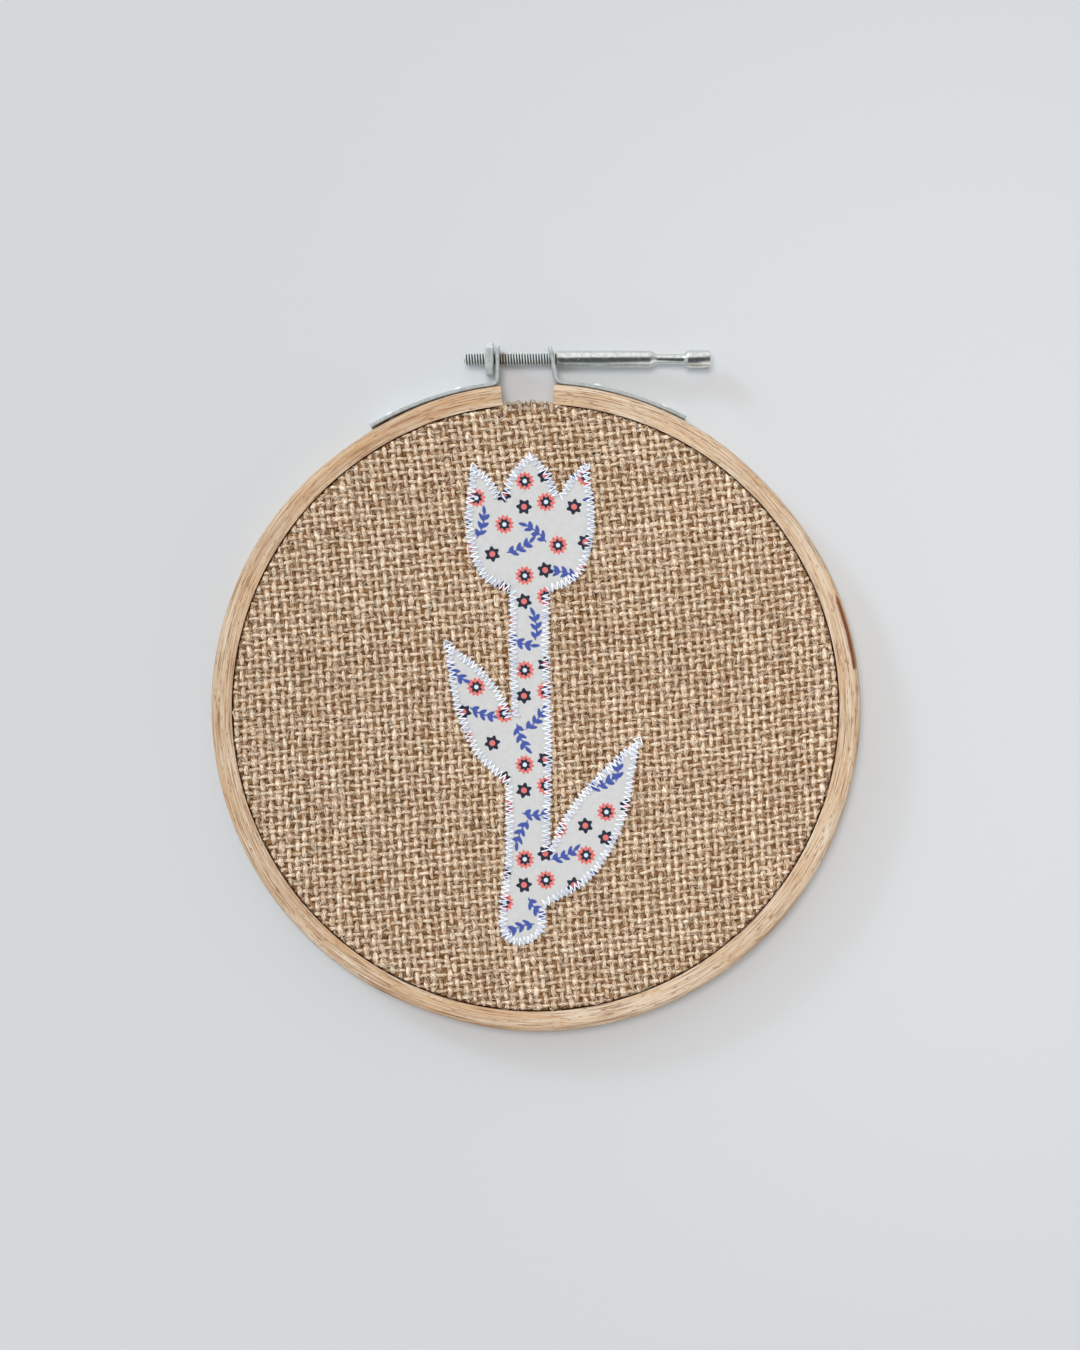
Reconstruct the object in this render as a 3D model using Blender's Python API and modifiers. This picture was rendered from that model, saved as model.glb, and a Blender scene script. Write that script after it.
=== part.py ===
# Hoop embroidery art: burlap held drum tight in a wooden hoop, with a cut-out flower sewn on it.
# The hoop lies on its back. +Z comes out of the picture and +Y points to the clamp screw.
# Metres. The origin is at the middle of the underside of the whole object.

import math

import bmesh
import bpy
from mathutils import Matrix, Vector

MM = 0.001
GAP = 0.3

# Wooden hoops, in millimetres
OUTER_RADIUS = 81.0
OUTER_THICKNESS = 4.9
OUTER_DEPTH = 9.5
OUTER_FRONT_ROUNDING = 1.9
OUTER_BACK_ROUNDING = 0.7
INNER_THICKNESS = 4.8
INNER_DEPTH = 8.3
INNER_ROUNDING = 0.6
GAP_START_ANGLE = -6.2
GAP_END_ANGLE = 3.3
RING_STEPS = 72

# Cloth
BURLAP_THICKNESS = 1.2
BURLAP_SHOULDER = 1.6
BURLAP_HEM_HEIGHT = 0.6
APPLIQUE_THICKNESS = 1.0

# Clamp brackets. Angles are measured from the top of the hoop, positive to the right.
STRIP_THICKNESS = 0.9
STRIP_WIDTH = 7.6
STRIP_STEPS = 16
BEND_LENGTH = 1.5
EAR_HOLE_DIAMETER = 3.8
LEFT_STRIP_END_ANGLE = -30.4
LEFT_STRIP_BEND_ANGLE = -6.75
LEFT_EAR_TOP = (-9.5, 90.8)
RIGHT_STRIP_END_ANGLE = 27.4
RIGHT_STRIP_BEND_ANGLE = 3.75
RIGHT_EAR_TOP = (3.6, 90.5)

# Rivets
RIVET_ANGLES = {
    "rivet_left_1": -13.6,
    "rivet_left_2": -26.4,
    "rivet_right_1": 10.9,
    "rivet_right_2": 23.5,
}
RIVET_HEAD_DIAMETER = 2.8
RIVET_HEAD_HEIGHT = 0.85
RIVET_SHANK_DIAMETER = 1.4
RIVET_SHANK_DEPTH = 3.0
RIVET_STEPS = 16

# Clamp screw and nut. The screw lies along X; places are distances from the hoop's middle.
SCREW_HEIGHT = 87.7
SCREW_STEPS = 16
THREAD_START = -17.9
THREAD_END = 4.9
THREAD_PITCH = 0.8
THREAD_CREST_DIAMETER = 3.2
THREAD_ROOT_DIAMETER = 2.5
SHANK_START = 5.3
SHANK_END = 28.9
SHANK_DIAMETER = 4.2
WAIST_START = 30.4
WAIST_END = 37.3
WAIST_DIAMETER = 2.4
HEAD_START = 38.2
HEAD_END = 43.9
HEAD_DIAMETER = 4.4
SLOT_WIDTH = 0.8
SLOT_DEPTH = 1.2
NUT_LEFT = -12.6
NUT_THICKNESS = 2.0
NUT_WIDTH = 7.8
NUT_CORNER = 1.5

# The applique's outline: x, y from the hoop's middle, and whether the edge turns sharply there.
FLOWER_OUTLINE = (
    # x, y, sharp
    (-4.2, -59.2, False),
    (1.6, -56.3, False),
    (2.6, -49.5, True),
    (14.0, -42.5, False),
    (22.2, -28.0, False),
    (26.0, -7.5, True),
    (14.0, -18.5, False),
    (6.4, -28.5, False),
    (3.4, -36.0, True),
    (3.9, -10.0, False),
    (3.2, 14.0, False),
    (3.4, 28.8, True),
    (11.2, 33.2, False),
    (14.6, 45.5, False),
    (13.0, 61.4, True),
    (8.8, 57.6, False),
    (5.8, 52.6, True),
    (3.3, 58.8, False),
    (-1.1, 63.7, True),
    (-5.9, 58.8, False),
    (-8.4, 52.6, True),
    (-11.6, 57.4, False),
    (-16.0, 60.8, True),
    (-17.2, 45.0, False),
    (-13.6, 33.0, False),
    (-6.4, 28.8, True),
    (-6.2, 14.0, False),
    (-5.8, -2.5, True),
    (-8.6, 3.4, False),
    (-13.8, 10.0, False),
    (-22.5, 16.5, True),
    (-20.2, 1.0, False),
    (-14.6, -12.0, False),
    (-7.2, -19.0, True),
    (-7.4, -38.0, False),
    (-8.6, -56.0, False),
)

outer_inside_radius = OUTER_RADIUS - OUTER_THICKNESS
burlap_radius = outer_inside_radius - GAP
inner_radius = burlap_radius - BURLAP_THICKNESS - GAP
inner_inside_radius = inner_radius - INNER_THICKNESS
burlap_top = INNER_DEPTH + GAP + BURLAP_THICKNESS
middle_height = OUTER_DEPTH / 2

# The origin is midway between the hoop's lowest edge and the top of the taller ear
hoop_middle_y = -(LEFT_EAR_TOP[1] - OUTER_RADIUS) / 2


def clear_scene():
    for thing in list(bpy.data.objects):
        bpy.data.objects.remove(thing, do_unlink=True)


def new_collection(name):
    collection = bpy.data.collections.new(name)
    bpy.context.scene.collection.children.link(collection)
    return collection


def new_material(name, colour, roughness, metallic):
    material = bpy.data.materials.new(name)
    material.use_nodes = True
    shader = material.node_tree.nodes["Principled BSDF"]
    shader.inputs["Base Color"].default_value = (*colour, 1.0)
    shader.inputs["Roughness"].default_value = roughness
    shader.inputs["Metallic"].default_value = metallic
    return material


def place(x, y, z):
    # A point given from the hoop's middle, in millimetres
    return Vector((x * MM, (y + hoop_middle_y) * MM, z * MM))


def on_ring(radius, angle):
    # Clockwise from the top of the hoop, in degrees
    turn = math.radians(angle)
    return Vector((radius * math.sin(turn), radius * math.cos(turn)))


def add_object(name, mesh, collection, material=None):
    thing = bpy.data.objects.new(name, mesh)
    collection.objects.link(thing)
    if material:
        mesh.materials.append(material)
    return thing


def make_cutter(thing):
    thing.hide_render = True
    thing.display_type = "WIRE"
    return thing


def turned(name, profile, steps, collection, material=None, closed=False):
    # Turns a profile of (radius, height) about Z, from the top down its outer side
    points = [(radius * MM, 0.0, height * MM) for radius, height in profile]
    edges = [(i, i + 1) for i in range(len(points) - 1)]
    if closed:
        edges.append((len(points) - 1, 0))
    mesh = bpy.data.meshes.new(name)
    mesh.from_pydata(points, edges, [])
    thing = add_object(name, mesh, collection, material)
    screw = thing.modifiers.new("Turn", "SCREW")
    screw.axis = "Z"
    screw.angle = math.tau
    screw.steps = steps
    screw.render_steps = steps
    screw.use_merge_vertices = True
    screw.merge_threshold = 0.00001
    screw.use_smooth_shade = True
    return thing


def flat_plate(name, spline_type, points, half_thickness, collection, material):
    # A flat outline drawn in X and Y, thickened along Z, and turned into a welded mesh
    curve = bpy.data.curves.new(name, "CURVE")
    curve.dimensions = "2D"
    curve.fill_mode = "BOTH"
    curve.extrude = half_thickness * MM
    curve.resolution_u = 5
    spline = curve.splines.new(spline_type)
    spline.use_cyclic_u = True
    if spline_type == "BEZIER":
        spline.bezier_points.add(len(points) - 1)
        for knot, (before, middle, after) in zip(spline.bezier_points, points):
            knot.handle_left_type = "FREE"
            knot.handle_right_type = "FREE"
            knot.co = (*(middle * MM), 0.0)
            knot.handle_left = (*(before * MM), 0.0)
            knot.handle_right = (*(after * MM), 0.0)
    else:
        spline.points.add(len(points) - 1)
        for knot, middle in zip(spline.points, points):
            knot.co = (*(middle * MM), 0.0, 1.0)
    drawn = bpy.data.objects.new(name + "_outline", curve)
    collection.objects.link(drawn)
    evaluated = drawn.evaluated_get(bpy.context.evaluated_depsgraph_get())
    mesh = bpy.data.meshes.new_from_object(evaluated)
    mesh.name = name
    mesh.materials.clear()
    bpy.data.objects.remove(drawn, do_unlink=True)
    edit = bmesh.new()
    edit.from_mesh(mesh)
    bmesh.ops.remove_doubles(edit, verts=edit.verts, dist=0.00001)
    bmesh.ops.recalc_face_normals(edit, faces=edit.faces)
    edit.to_mesh(mesh)
    edit.free()
    return add_object(name, mesh, collection, material)


def round_cutter(name, diameter, length, collection):
    mesh = bpy.data.meshes.new(name)
    edit = bmesh.new()
    bmesh.ops.create_cone(
        edit, cap_ends=True, segments=SCREW_STEPS, radius1=diameter * MM / 2,
        radius2=diameter * MM / 2, depth=length * MM)
    edit.to_mesh(mesh)
    edit.free()
    return make_cutter(add_object(name, mesh, collection))


def box_cutter(name, size, collection):
    mesh = bpy.data.meshes.new(name)
    edit = bmesh.new()
    bmesh.ops.create_cube(edit, size=1.0, matrix=Matrix.Diagonal((*(Vector(size) * MM), 1.0)))
    edit.to_mesh(mesh)
    edit.free()
    return make_cutter(add_object(name, mesh, collection))


def cut(thing, cutter):
    boolean = thing.modifiers.new("Cut " + cutter.name, "BOOLEAN")
    boolean.operation = "DIFFERENCE"
    boolean.solver = "EXACT"
    boolean.object = cutter


def corner_arc(centre_radius, centre_height, rounding, start, end, steps=3):
    # Points of a rounded corner in a turned profile; angles from straight out, in degrees
    corner = []
    for i in range(steps + 1):
        turn = math.radians(start + (end - start) * i / steps)
        corner.append((centre_radius + rounding * math.cos(turn),
                       centre_height + rounding * math.sin(turn)))
    return corner


def ring_profile(inside, outside, height, front_rounding, back_rounding):
    # A strip on edge, its outer front edge more rounded than the others
    profile = corner_arc(inside + back_rounding, height - back_rounding, back_rounding, 180, 90, 2)
    profile += corner_arc(outside - front_rounding, height - front_rounding, front_rounding, 90, 0, 4)
    profile += corner_arc(outside - back_rounding, back_rounding, back_rounding, 0, -90, 2)
    profile += corner_arc(inside + back_rounding, back_rounding, back_rounding, -90, -180, 2)
    return profile


def make_outer_hoop(parts, cutters, wood):
    profile = ring_profile(outer_inside_radius, OUTER_RADIUS, OUTER_DEPTH,
                           OUTER_FRONT_ROUNDING, OUTER_BACK_ROUNDING)
    hoop = turned("outer_hoop", profile, RING_STEPS, parts, wood, closed=True)
    hoop.location = place(0, 0, 0)
    reach = OUTER_RADIUS * 1.2
    wedge_points = [Vector((0.0, 0.0)), on_ring(reach, GAP_START_ANGLE), on_ring(reach, GAP_END_ANGLE)]
    wedge = flat_plate("hoop_gap_cutter", "POLY", wedge_points, OUTER_DEPTH, cutters, None)
    wedge.location = place(0, 0, middle_height)
    cut(hoop, make_cutter(wedge))
    for name, angle in RIVET_ANGLES.items():
        cut(hoop, rivet_hole(name + "_wood_hole", angle, cutters))


def make_inner_hoop(parts, wood):
    profile = ring_profile(inner_inside_radius, inner_radius, INNER_DEPTH, INNER_ROUNDING, INNER_ROUNDING)
    hoop = turned("inner_hoop", profile, RING_STEPS, parts, wood, closed=True)
    hoop.location = place(0, 0, 0)


def make_burlap(parts, burlap):
    # A drum skin: the stretched disc, its rounded shoulder and the skirt between the hoops
    inside = burlap_radius - BURLAP_THICKNESS
    under = burlap_top - BURLAP_THICKNESS
    inside_shoulder = BURLAP_SHOULDER - BURLAP_THICKNESS
    profile = [(0.0, burlap_top)]
    profile += corner_arc(burlap_radius - BURLAP_SHOULDER, burlap_top - BURLAP_SHOULDER,
                          BURLAP_SHOULDER, 90, 0, 4)
    profile += [(burlap_radius, BURLAP_HEM_HEIGHT), (inside, BURLAP_HEM_HEIGHT)]
    profile += corner_arc(inside - inside_shoulder, under - inside_shoulder, inside_shoulder, 0, 90, 2)
    profile += [(0.0, under)]
    skin = turned("burlap_cloth", profile, RING_STEPS, parts, burlap)
    skin.location = place(0, 0, 0)


def outline_with_handles(outline):
    # At a soft point the edge runs along its neighbours; at a sharp one it aims at each of them
    knots = []
    for i, (x, y, sharp) in enumerate(outline):
        before = Vector(outline[i - 1][:2])
        middle = Vector((x, y))
        after = Vector(outline[(i + 1) % len(outline)][:2])
        along = (after - before).normalized()
        if sharp:
            knots.append((middle + (before - middle) / 3, middle, middle + (after - middle) / 3))
        else:
            knots.append((middle - along * (middle - before).length / 3, middle,
                          middle + along * (after - middle).length / 3))
    return knots


def make_applique(parts, cotton):
    half = APPLIQUE_THICKNESS / 2
    flower = flat_plate("flower_applique", "BEZIER", outline_with_handles(FLOWER_OUTLINE),
                        half, parts, cotton)
    flower.location = place(0, 0, burlap_top + GAP + half)


def strip_middle_line(end_angle, bend_angle, ear_top):
    # Round the hoop, then through a soft bend into the ear
    radius = OUTER_RADIUS + GAP + STRIP_THICKNESS / 2
    side = math.copysign(1.0, bend_angle)
    start_of_bend = bend_angle + side * math.degrees(BEND_LENGTH / radius)
    line = []
    for i in range(STRIP_STEPS + 1):
        line.append(on_ring(radius, end_angle + (start_of_bend - end_angle) * i / STRIP_STEPS))
    corner = on_ring(radius, bend_angle)
    top = Vector(ear_top)
    end_of_bend = corner + (top - corner).normalized() * BEND_LENGTH
    start = line[-1]
    for share in (0.2, 0.4, 0.6, 0.8, 1.0):
        first = start.lerp(corner, share)
        line.append(first.lerp(corner.lerp(end_of_bend, share), share))
    line.append(top)
    return line


def strip_outline(line):
    # Steps half a thickness to each side of the middle line
    left = []
    right = []
    for i, point in enumerate(line):
        before = line[max(i - 1, 0)]
        after = line[min(i + 1, len(line) - 1)]
        along = (after - before).normalized()
        across = Vector((-along.y, along.x)) * STRIP_THICKNESS / 2
        left.append(point + across)
        right.append(point - across)
    return left + right[::-1]


def rivet_hole(name, angle, cutters):
    # A radial hole from outside the strip to just past the rivet's tip
    outside = OUTER_RADIUS + GAP + STRIP_THICKNESS + RIVET_HEAD_HEIGHT
    inside = OUTER_RADIUS - RIVET_SHANK_DEPTH - GAP
    cutter = round_cutter(name, RIVET_SHANK_DIAMETER + 2 * GAP, outside - inside, cutters)
    middle = on_ring((outside + inside) / 2, angle)
    cutter.location = place(middle.x, middle.y, middle_height)
    cutter.rotation_euler = radial_turn(angle)
    return cutter


def radial_turn(angle):
    # Turns Z to point straight out of the hoop at this angle
    direction = on_ring(1.0, angle).to_3d()
    return direction.to_track_quat("Z", "Y").to_euler()


def make_bracket(side, end_angle, bend_angle, ear_top, rivets, parts, cutters, steel):
    outline = strip_outline(strip_middle_line(end_angle, bend_angle, ear_top))
    bracket = flat_plate("bracket_" + side, "POLY", outline, STRIP_WIDTH / 2, parts, steel)
    bracket.location = place(0, 0, middle_height)
    hole = round_cutter("ear_hole_" + side, EAR_HOLE_DIAMETER, 4 * STRIP_THICKNESS, cutters)
    corner = on_ring(OUTER_RADIUS + GAP + STRIP_THICKNESS / 2, bend_angle)
    share = (SCREW_HEIGHT - corner.y) / (ear_top[1] - corner.y)
    hole.location = place(corner.x + (ear_top[0] - corner.x) * share, SCREW_HEIGHT, middle_height)
    hole.rotation_euler = (0.0, math.radians(90), 0.0)
    cut(bracket, hole)
    for name in rivets:
        cut(bracket, rivet_hole(name + "_strip_hole", RIVET_ANGLES[name], cutters))


def make_rivets(parts, steel):
    seat = OUTER_RADIUS + GAP + STRIP_THICKNESS + GAP
    tip = OUTER_RADIUS - RIVET_SHANK_DEPTH
    head = RIVET_HEAD_DIAMETER / 2
    shank = RIVET_SHANK_DIAMETER / 2
    profile = [(0.0, RIVET_HEAD_HEIGHT)]
    for turn in (65, 40, 15):
        turn = math.radians(turn)
        profile.append((head * math.cos(turn), RIVET_HEAD_HEIGHT * math.sin(turn)))
    profile += [(head, 0.0), (shank, 0.0), (shank, tip - seat), (0.0, tip - seat)]
    for name, angle in RIVET_ANGLES.items():
        rivet = turned(name, profile, RIVET_STEPS, parts, steel)
        base = on_ring(seat, angle)
        rivet.location = place(base.x, base.y, middle_height)
        rivet.rotation_euler = radial_turn(angle)


def make_screw(parts, cutters, steel):
    # Turned about its own length, its slotted end uppermost in the profile
    head = HEAD_DIAMETER / 2
    shank = SHANK_DIAMETER / 2
    waist = WAIST_DIAMETER / 2
    crest = THREAD_CREST_DIAMETER / 2
    root = THREAD_ROOT_DIAMETER / 2
    edge = 0.25
    profile = [(0.0, HEAD_END), (head - edge, HEAD_END), (head, HEAD_END - edge), (head, HEAD_START)]
    profile += [(waist, WAIST_END), (waist, WAIST_START), (shank, SHANK_END)]
    profile += [(shank, SHANK_START + edge), (shank - edge, SHANK_START), (root, SHANK_START)]
    turns = int((THREAD_END - THREAD_START) / THREAD_PITCH)
    for i in range(turns):
        top = THREAD_END - i * THREAD_PITCH
        profile += [(root, top), (crest, top - THREAD_PITCH * 0.35), (crest, top - THREAD_PITCH * 0.65)]
    profile += [(root, THREAD_START), (0.0, THREAD_START)]
    screw = turned("clamp_screw", profile, SCREW_STEPS, parts, steel)
    screw.location = place(0, SCREW_HEIGHT, middle_height)
    screw.rotation_euler = (0.0, math.radians(90), 0.0)
    slot = box_cutter("slot_cutter", (2 * SLOT_DEPTH, 2 * HEAD_DIAMETER, SLOT_WIDTH), cutters)
    slot.location = place(HEAD_END, SCREW_HEIGHT, middle_height)
    cut(screw, slot)


def make_nut(parts, cutters, steel):
    # A square plate with clipped corners, standing across the screw
    half = NUT_WIDTH / 2
    near = half - NUT_CORNER
    corners = [(half, -near), (half, near), (near, half), (-near, half),
               (-half, near), (-half, -near), (-near, -half), (near, -half)]
    nut = flat_plate("clamp_nut", "POLY", [Vector(corner) for corner in corners],
                     NUT_THICKNESS / 2, parts, steel)
    nut.location = place(NUT_LEFT + NUT_THICKNESS / 2, SCREW_HEIGHT, middle_height)
    nut.rotation_euler = (0.0, math.radians(90), 0.0)
    hole = round_cutter("nut_hole", EAR_HOLE_DIAMETER, 3 * NUT_THICKNESS, cutters)
    hole.location = nut.location
    hole.rotation_euler = nut.rotation_euler
    cut(nut, hole)


def smooth_round_pieces(parts):
    for thing in parts.objects:
        if thing.modifiers and thing.modifiers[0].type == "SCREW":
            thing.data.shade_smooth()


def main():
    clear_scene()
    parts = new_collection("hoop_embroidery_art")
    cutters = new_collection("cutters")
    beech = new_material("beech", (0.72, 0.50, 0.31), 0.55, 0.0)
    burlap = new_material("jute_burlap", (0.47, 0.32, 0.19), 0.95, 0.0)
    cotton = new_material("printed_cotton", (0.72, 0.73, 0.72), 0.9, 0.0)
    steel = new_material("zinc_plated_steel", (0.62, 0.65, 0.67), 0.3, 1.0)
    make_outer_hoop(parts, cutters, beech)
    make_inner_hoop(parts, beech)
    make_burlap(parts, burlap)
    make_applique(parts, cotton)
    left_rivets = [name for name in RIVET_ANGLES if "left" in name]
    right_rivets = [name for name in RIVET_ANGLES if "right" in name]
    make_bracket("left", LEFT_STRIP_END_ANGLE, LEFT_STRIP_BEND_ANGLE, LEFT_EAR_TOP,
                 left_rivets, parts, cutters, steel)
    make_bracket("right", RIGHT_STRIP_END_ANGLE, RIGHT_STRIP_BEND_ANGLE, RIGHT_EAR_TOP,
                 right_rivets, parts, cutters, steel)
    make_rivets(parts, steel)
    make_screw(parts, cutters, steel)
    make_nut(parts, cutters, steel)
    smooth_round_pieces(parts)


main()
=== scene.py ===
# Hoop embroidery art: burlap held drum tight in a beech hoop, with a printed cotton flower sewn on.
# Sizes below are millimetres from the middle of the hoop, unless a name says otherwise:
# +X to the picture's right, +Y towards the clamp screw, +Z out of the picture.
import math
import bpy
import numpy as np
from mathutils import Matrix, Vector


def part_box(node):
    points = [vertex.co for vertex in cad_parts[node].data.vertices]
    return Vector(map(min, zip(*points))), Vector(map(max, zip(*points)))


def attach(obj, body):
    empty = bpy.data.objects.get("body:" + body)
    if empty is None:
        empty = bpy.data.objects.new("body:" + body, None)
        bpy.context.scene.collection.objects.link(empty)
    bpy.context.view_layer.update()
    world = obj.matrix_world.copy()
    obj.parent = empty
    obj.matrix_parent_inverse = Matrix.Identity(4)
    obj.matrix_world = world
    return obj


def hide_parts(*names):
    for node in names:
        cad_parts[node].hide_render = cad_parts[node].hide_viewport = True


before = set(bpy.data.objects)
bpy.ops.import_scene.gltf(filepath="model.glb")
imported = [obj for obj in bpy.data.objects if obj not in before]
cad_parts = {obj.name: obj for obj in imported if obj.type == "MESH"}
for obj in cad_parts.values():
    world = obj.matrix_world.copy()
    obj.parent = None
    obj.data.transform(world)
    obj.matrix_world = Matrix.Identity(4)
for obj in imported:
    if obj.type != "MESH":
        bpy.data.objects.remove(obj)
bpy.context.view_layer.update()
millimetre = 0.001


def boxInMillimetres(node):
    low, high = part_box(node)
    return np.array(low) / millimetre, np.array(high) / millimetre


clothLow, clothHigh = boxInMillimetres("burlap_cloth")
woodHigh = boxInMillimetres("outer_hoop")[1]
innerHigh = boxInMillimetres("inner_hoop")[1]
flowerLow = boxInMillimetres("flower_applique")[0]
screwLow, screwHigh = boxInMillimetres("clamp_screw")
nutLow, nutHigh = boxInMillimetres("clamp_nut")
hoopMiddle = np.array([(clothLow[0] + clothHigh[0]) / 2, (clothLow[1] + clothHigh[1]) / 2, 0.0])
fitGap = 0.3  # kept between pieces that touch
print("frame loaded with", len(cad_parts), "solids")


def toLinear(hexColour):
    # sRGB hex to the linear values that shaders take
    srgb = np.array([int(hexColour[i:i + 2], 16) for i in (1, 3, 5)]) / 255
    linear = np.where(srgb <= 0.04045, srgb / 12.92, ((srgb + 0.055) / 1.055) ** 2.4)
    return (*linear.tolist(), 1.0)


def addNode(tree, kind, sockets=None, stops=None, **settings):
    # adds a node with its settings; a socket is set to a value, or linked to another node's output
    node = tree.nodes.new("ShaderNode" + kind)
    for key, value in settings.items():
        setattr(node, key, value)
    for key, value in (sockets or {}).items():
        if isinstance(value, bpy.types.NodeSocket):
            tree.links.new(value, node.inputs[key])
        else:
            node.inputs[key].default_value = value
    if stops:
        elements = node.color_ramp.elements
        for element, (place, colour) in zip(elements, (stops[0], stops[-1])):
            element.position = place
            element.color = toLinear(colour)
        for place, colour in stops[1:-1]:
            elements.new(place).color = toLinear(colour)
    return node


def newMaterial(name, sockets):
    material = bpy.data.materials.new(name)
    material.use_nodes = True
    shader = material.node_tree.nodes["Principled BSDF"]
    for key, value in sockets.items():
        shader.inputs[key].default_value = value
    return material, material.node_tree, shader


def attribute(tree, name, output="Fac"):
    # a value, or with output "Vector" three of them, kept on a mesh's points
    return addNode(tree, "Attribute", attribute_name=name).outputs[output]


def objectPlace(tree):
    return addNode(tree, "TexCoord").outputs["Object"]


def stretched(tree, vector, scale, shift=(0.0, 0.0, 0.0)):
    # coordinates times scale, plus shift
    return addNode(tree, "Mapping", {"Vector": vector, "Scale": scale, "Location": shift}).outputs[0]


def noise(tree, vector, scale, detail, roughness=0.5):
    # smooth noise between 0 and 1, mostly near a half
    sockets = {"Vector": vector, "Scale": scale, "Detail": detail, "Roughness": roughness}
    return addNode(tree, "TexNoise", sockets).outputs["Fac"]


def rescale(tree, value, low, high, to=(0.0, 1.0), curve="LINEAR"):
    # low becomes the first value of "to" and high the second, with no more beyond them
    sockets = {"Value": value, "From Min": low, "From Max": high, "To Min": to[0], "To Max": to[1]}
    return addNode(tree, "MapRange", sockets, interpolation_type=curve).outputs[0]


def combine(tree, operation, *values):
    return addNode(tree, "Math", dict(enumerate(values)), operation=operation).outputs[0]


def blend(tree, share, colour, hexColour):
    # from a colour to a fixed one, by share
    return addNode(tree, "Mix", {0: share, 6: colour, 7: toLinear(hexColour)}, data_type="RGBA").outputs[2]


def ramp(tree, value, *stops):
    return addNode(tree, "ValToRGB", {"Fac": value}, stops=stops).outputs[0]


def addBump(tree, shader, height, strength, distance):
    # distance in metres
    bump = addNode(tree, "Bump", {"Strength": strength, "Distance": distance, "Height": height})
    tree.links.new(bump.outputs[0], shader.inputs["Normal"])


def makePiece(name, points, faces, material, attributes=None, sharpAngle=None):
    # points (n, 3) and groups of faces (m, corners); points that no face uses are dropped
    corners = np.concatenate([group.ravel() for group in faces])
    sizes = np.concatenate([np.full(len(group), group.shape[1]) for group in faces])
    used, corners = np.unique(corners, return_inverse=True)
    mesh = bpy.data.meshes.new(name)
    mesh.vertices.add(len(used))
    placed = (points[used] + hoopMiddle) * millimetre
    mesh.vertices.foreach_set("co", placed.astype(np.float32).ravel())
    mesh.loops.add(len(corners))
    mesh.loops.foreach_set("vertex_index", corners.astype(np.int32))
    mesh.polygons.add(len(sizes))
    mesh.polygons.foreach_set("loop_start", (np.cumsum(sizes) - sizes).astype(np.int32))
    mesh.update(calc_edges=True)
    mesh.shade_smooth()
    if sharpAngle:
        mesh.set_sharp_from_angle(angle=math.radians(sharpAngle))
    for key, values in (attributes or {}).items():
        isVector = values.ndim == 2
        layer = mesh.attributes.new(key, "FLOAT_VECTOR" if isVector else "FLOAT", "POINT")
        layer.data.foreach_set("vector" if isVector else "value", values[used].astype(np.float32).ravel())
    piece = bpy.data.objects.new(name, mesh)
    bpy.context.scene.collection.objects.link(piece)
    mesh.materials.append(material)
    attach(piece, "root")
    return piece


def gridFaces(rows, columns, closeRows=False, closeColumns=True):
    # quads of a grid, facing out where the columns turn anticlockwise about the way the rows run
    row = np.arange(rows if closeRows else rows - 1)[:, None]
    column = np.arange(columns if closeColumns else columns - 1)[None, :]
    nextRow = (row + 1) % rows * columns
    nextColumn = (column + 1) % columns
    row = row * columns
    quads = np.stack([row + column, row + nextColumn, nextRow + nextColumn, nextRow + column], axis=-1)
    return quads.reshape(-1, 4)


def endCaps(rows, columns):
    # one face over the first row, turned back, and one over the last
    around = np.arange(columns)
    return np.stack([around[::-1], (rows - 1) * columns + around])


def ringPoints(radius, angle, height):
    # clockwise from the top of the hoop: sine of the angle to the right, cosine upwards
    return np.stack(np.broadcast_arrays(radius * np.sin(angle), radius * np.cos(angle), height), axis=-1)


def cornerArc(centre, rounding, startDegrees, steps):
    # a quarter turn of a rounded corner, anticlockwise
    turn = np.radians(startDegrees + np.linspace(0, 90, steps + 1))
    return np.stack([centre[0] + rounding * np.cos(turn), centre[1] + rounding * np.sin(turn)], axis=-1)


def roundedBox(low, high, roundings, steps):
    # anticlockwise from the right lower corner; roundings of right lower, right upper, left upper, left lower
    (left, bottom), (right, top) = low, high
    rightLower, rightUpper, leftUpper, leftLower = roundings
    return np.concatenate([
        cornerArc((right - rightLower, bottom + rightLower), rightLower, -90, steps),
        cornerArc((right - rightUpper, top - rightUpper), rightUpper, 0, steps),
        cornerArc((left + leftUpper, top - leftUpper), leftUpper, 90, steps),
        cornerArc((left + leftLower, bottom + leftLower), leftLower, 180, steps)])


def slowNoise(random, rows, columns, lengths):
    # each row is a mean of sines of those lengths, in columns, with random phases and stretches
    place = np.arange(columns)[None, :]
    total = np.zeros((rows, columns))
    for length in lengths:
        phase = random.uniform(0, 2 * np.pi, (rows, 1))
        stretch = random.uniform(0.75, 1.3, (rows, 1))
        total += np.sin(2 * np.pi * place * stretch / length + phase)
    return total / len(lengths)


def softStep(value):
    # 0 below 0, 1 above 1, and smooth between
    share = np.clip(value, 0, 1)
    return share * share * (3 - 2 * share)


# Wooden hoops

woodFinish = {
    "pale": "#D1BFA9", "body": "#BCA286", "warm": "#A57F5D", "blush": "#C0986F", "streak": "#7A5436",
    # the bark edge's colour, also used for painted shade on the hoop's inner wall
    "barkAndShade": "#6E3C20",
    "roughness": 0.6,
    "streakWidth": 0.34,   # between grain lines
    "streakLength": 12.0,  # a grain line's usual run round the hoop
    "fleckLength": 2.2, "flecksAcross": 3.4,  # the short dark rays of beech
    "bandScale": (0.02, 0.22, 0.22), "patchScale": (0.05, 0.5, 0.5),  # broad bands and blushes
}


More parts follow.
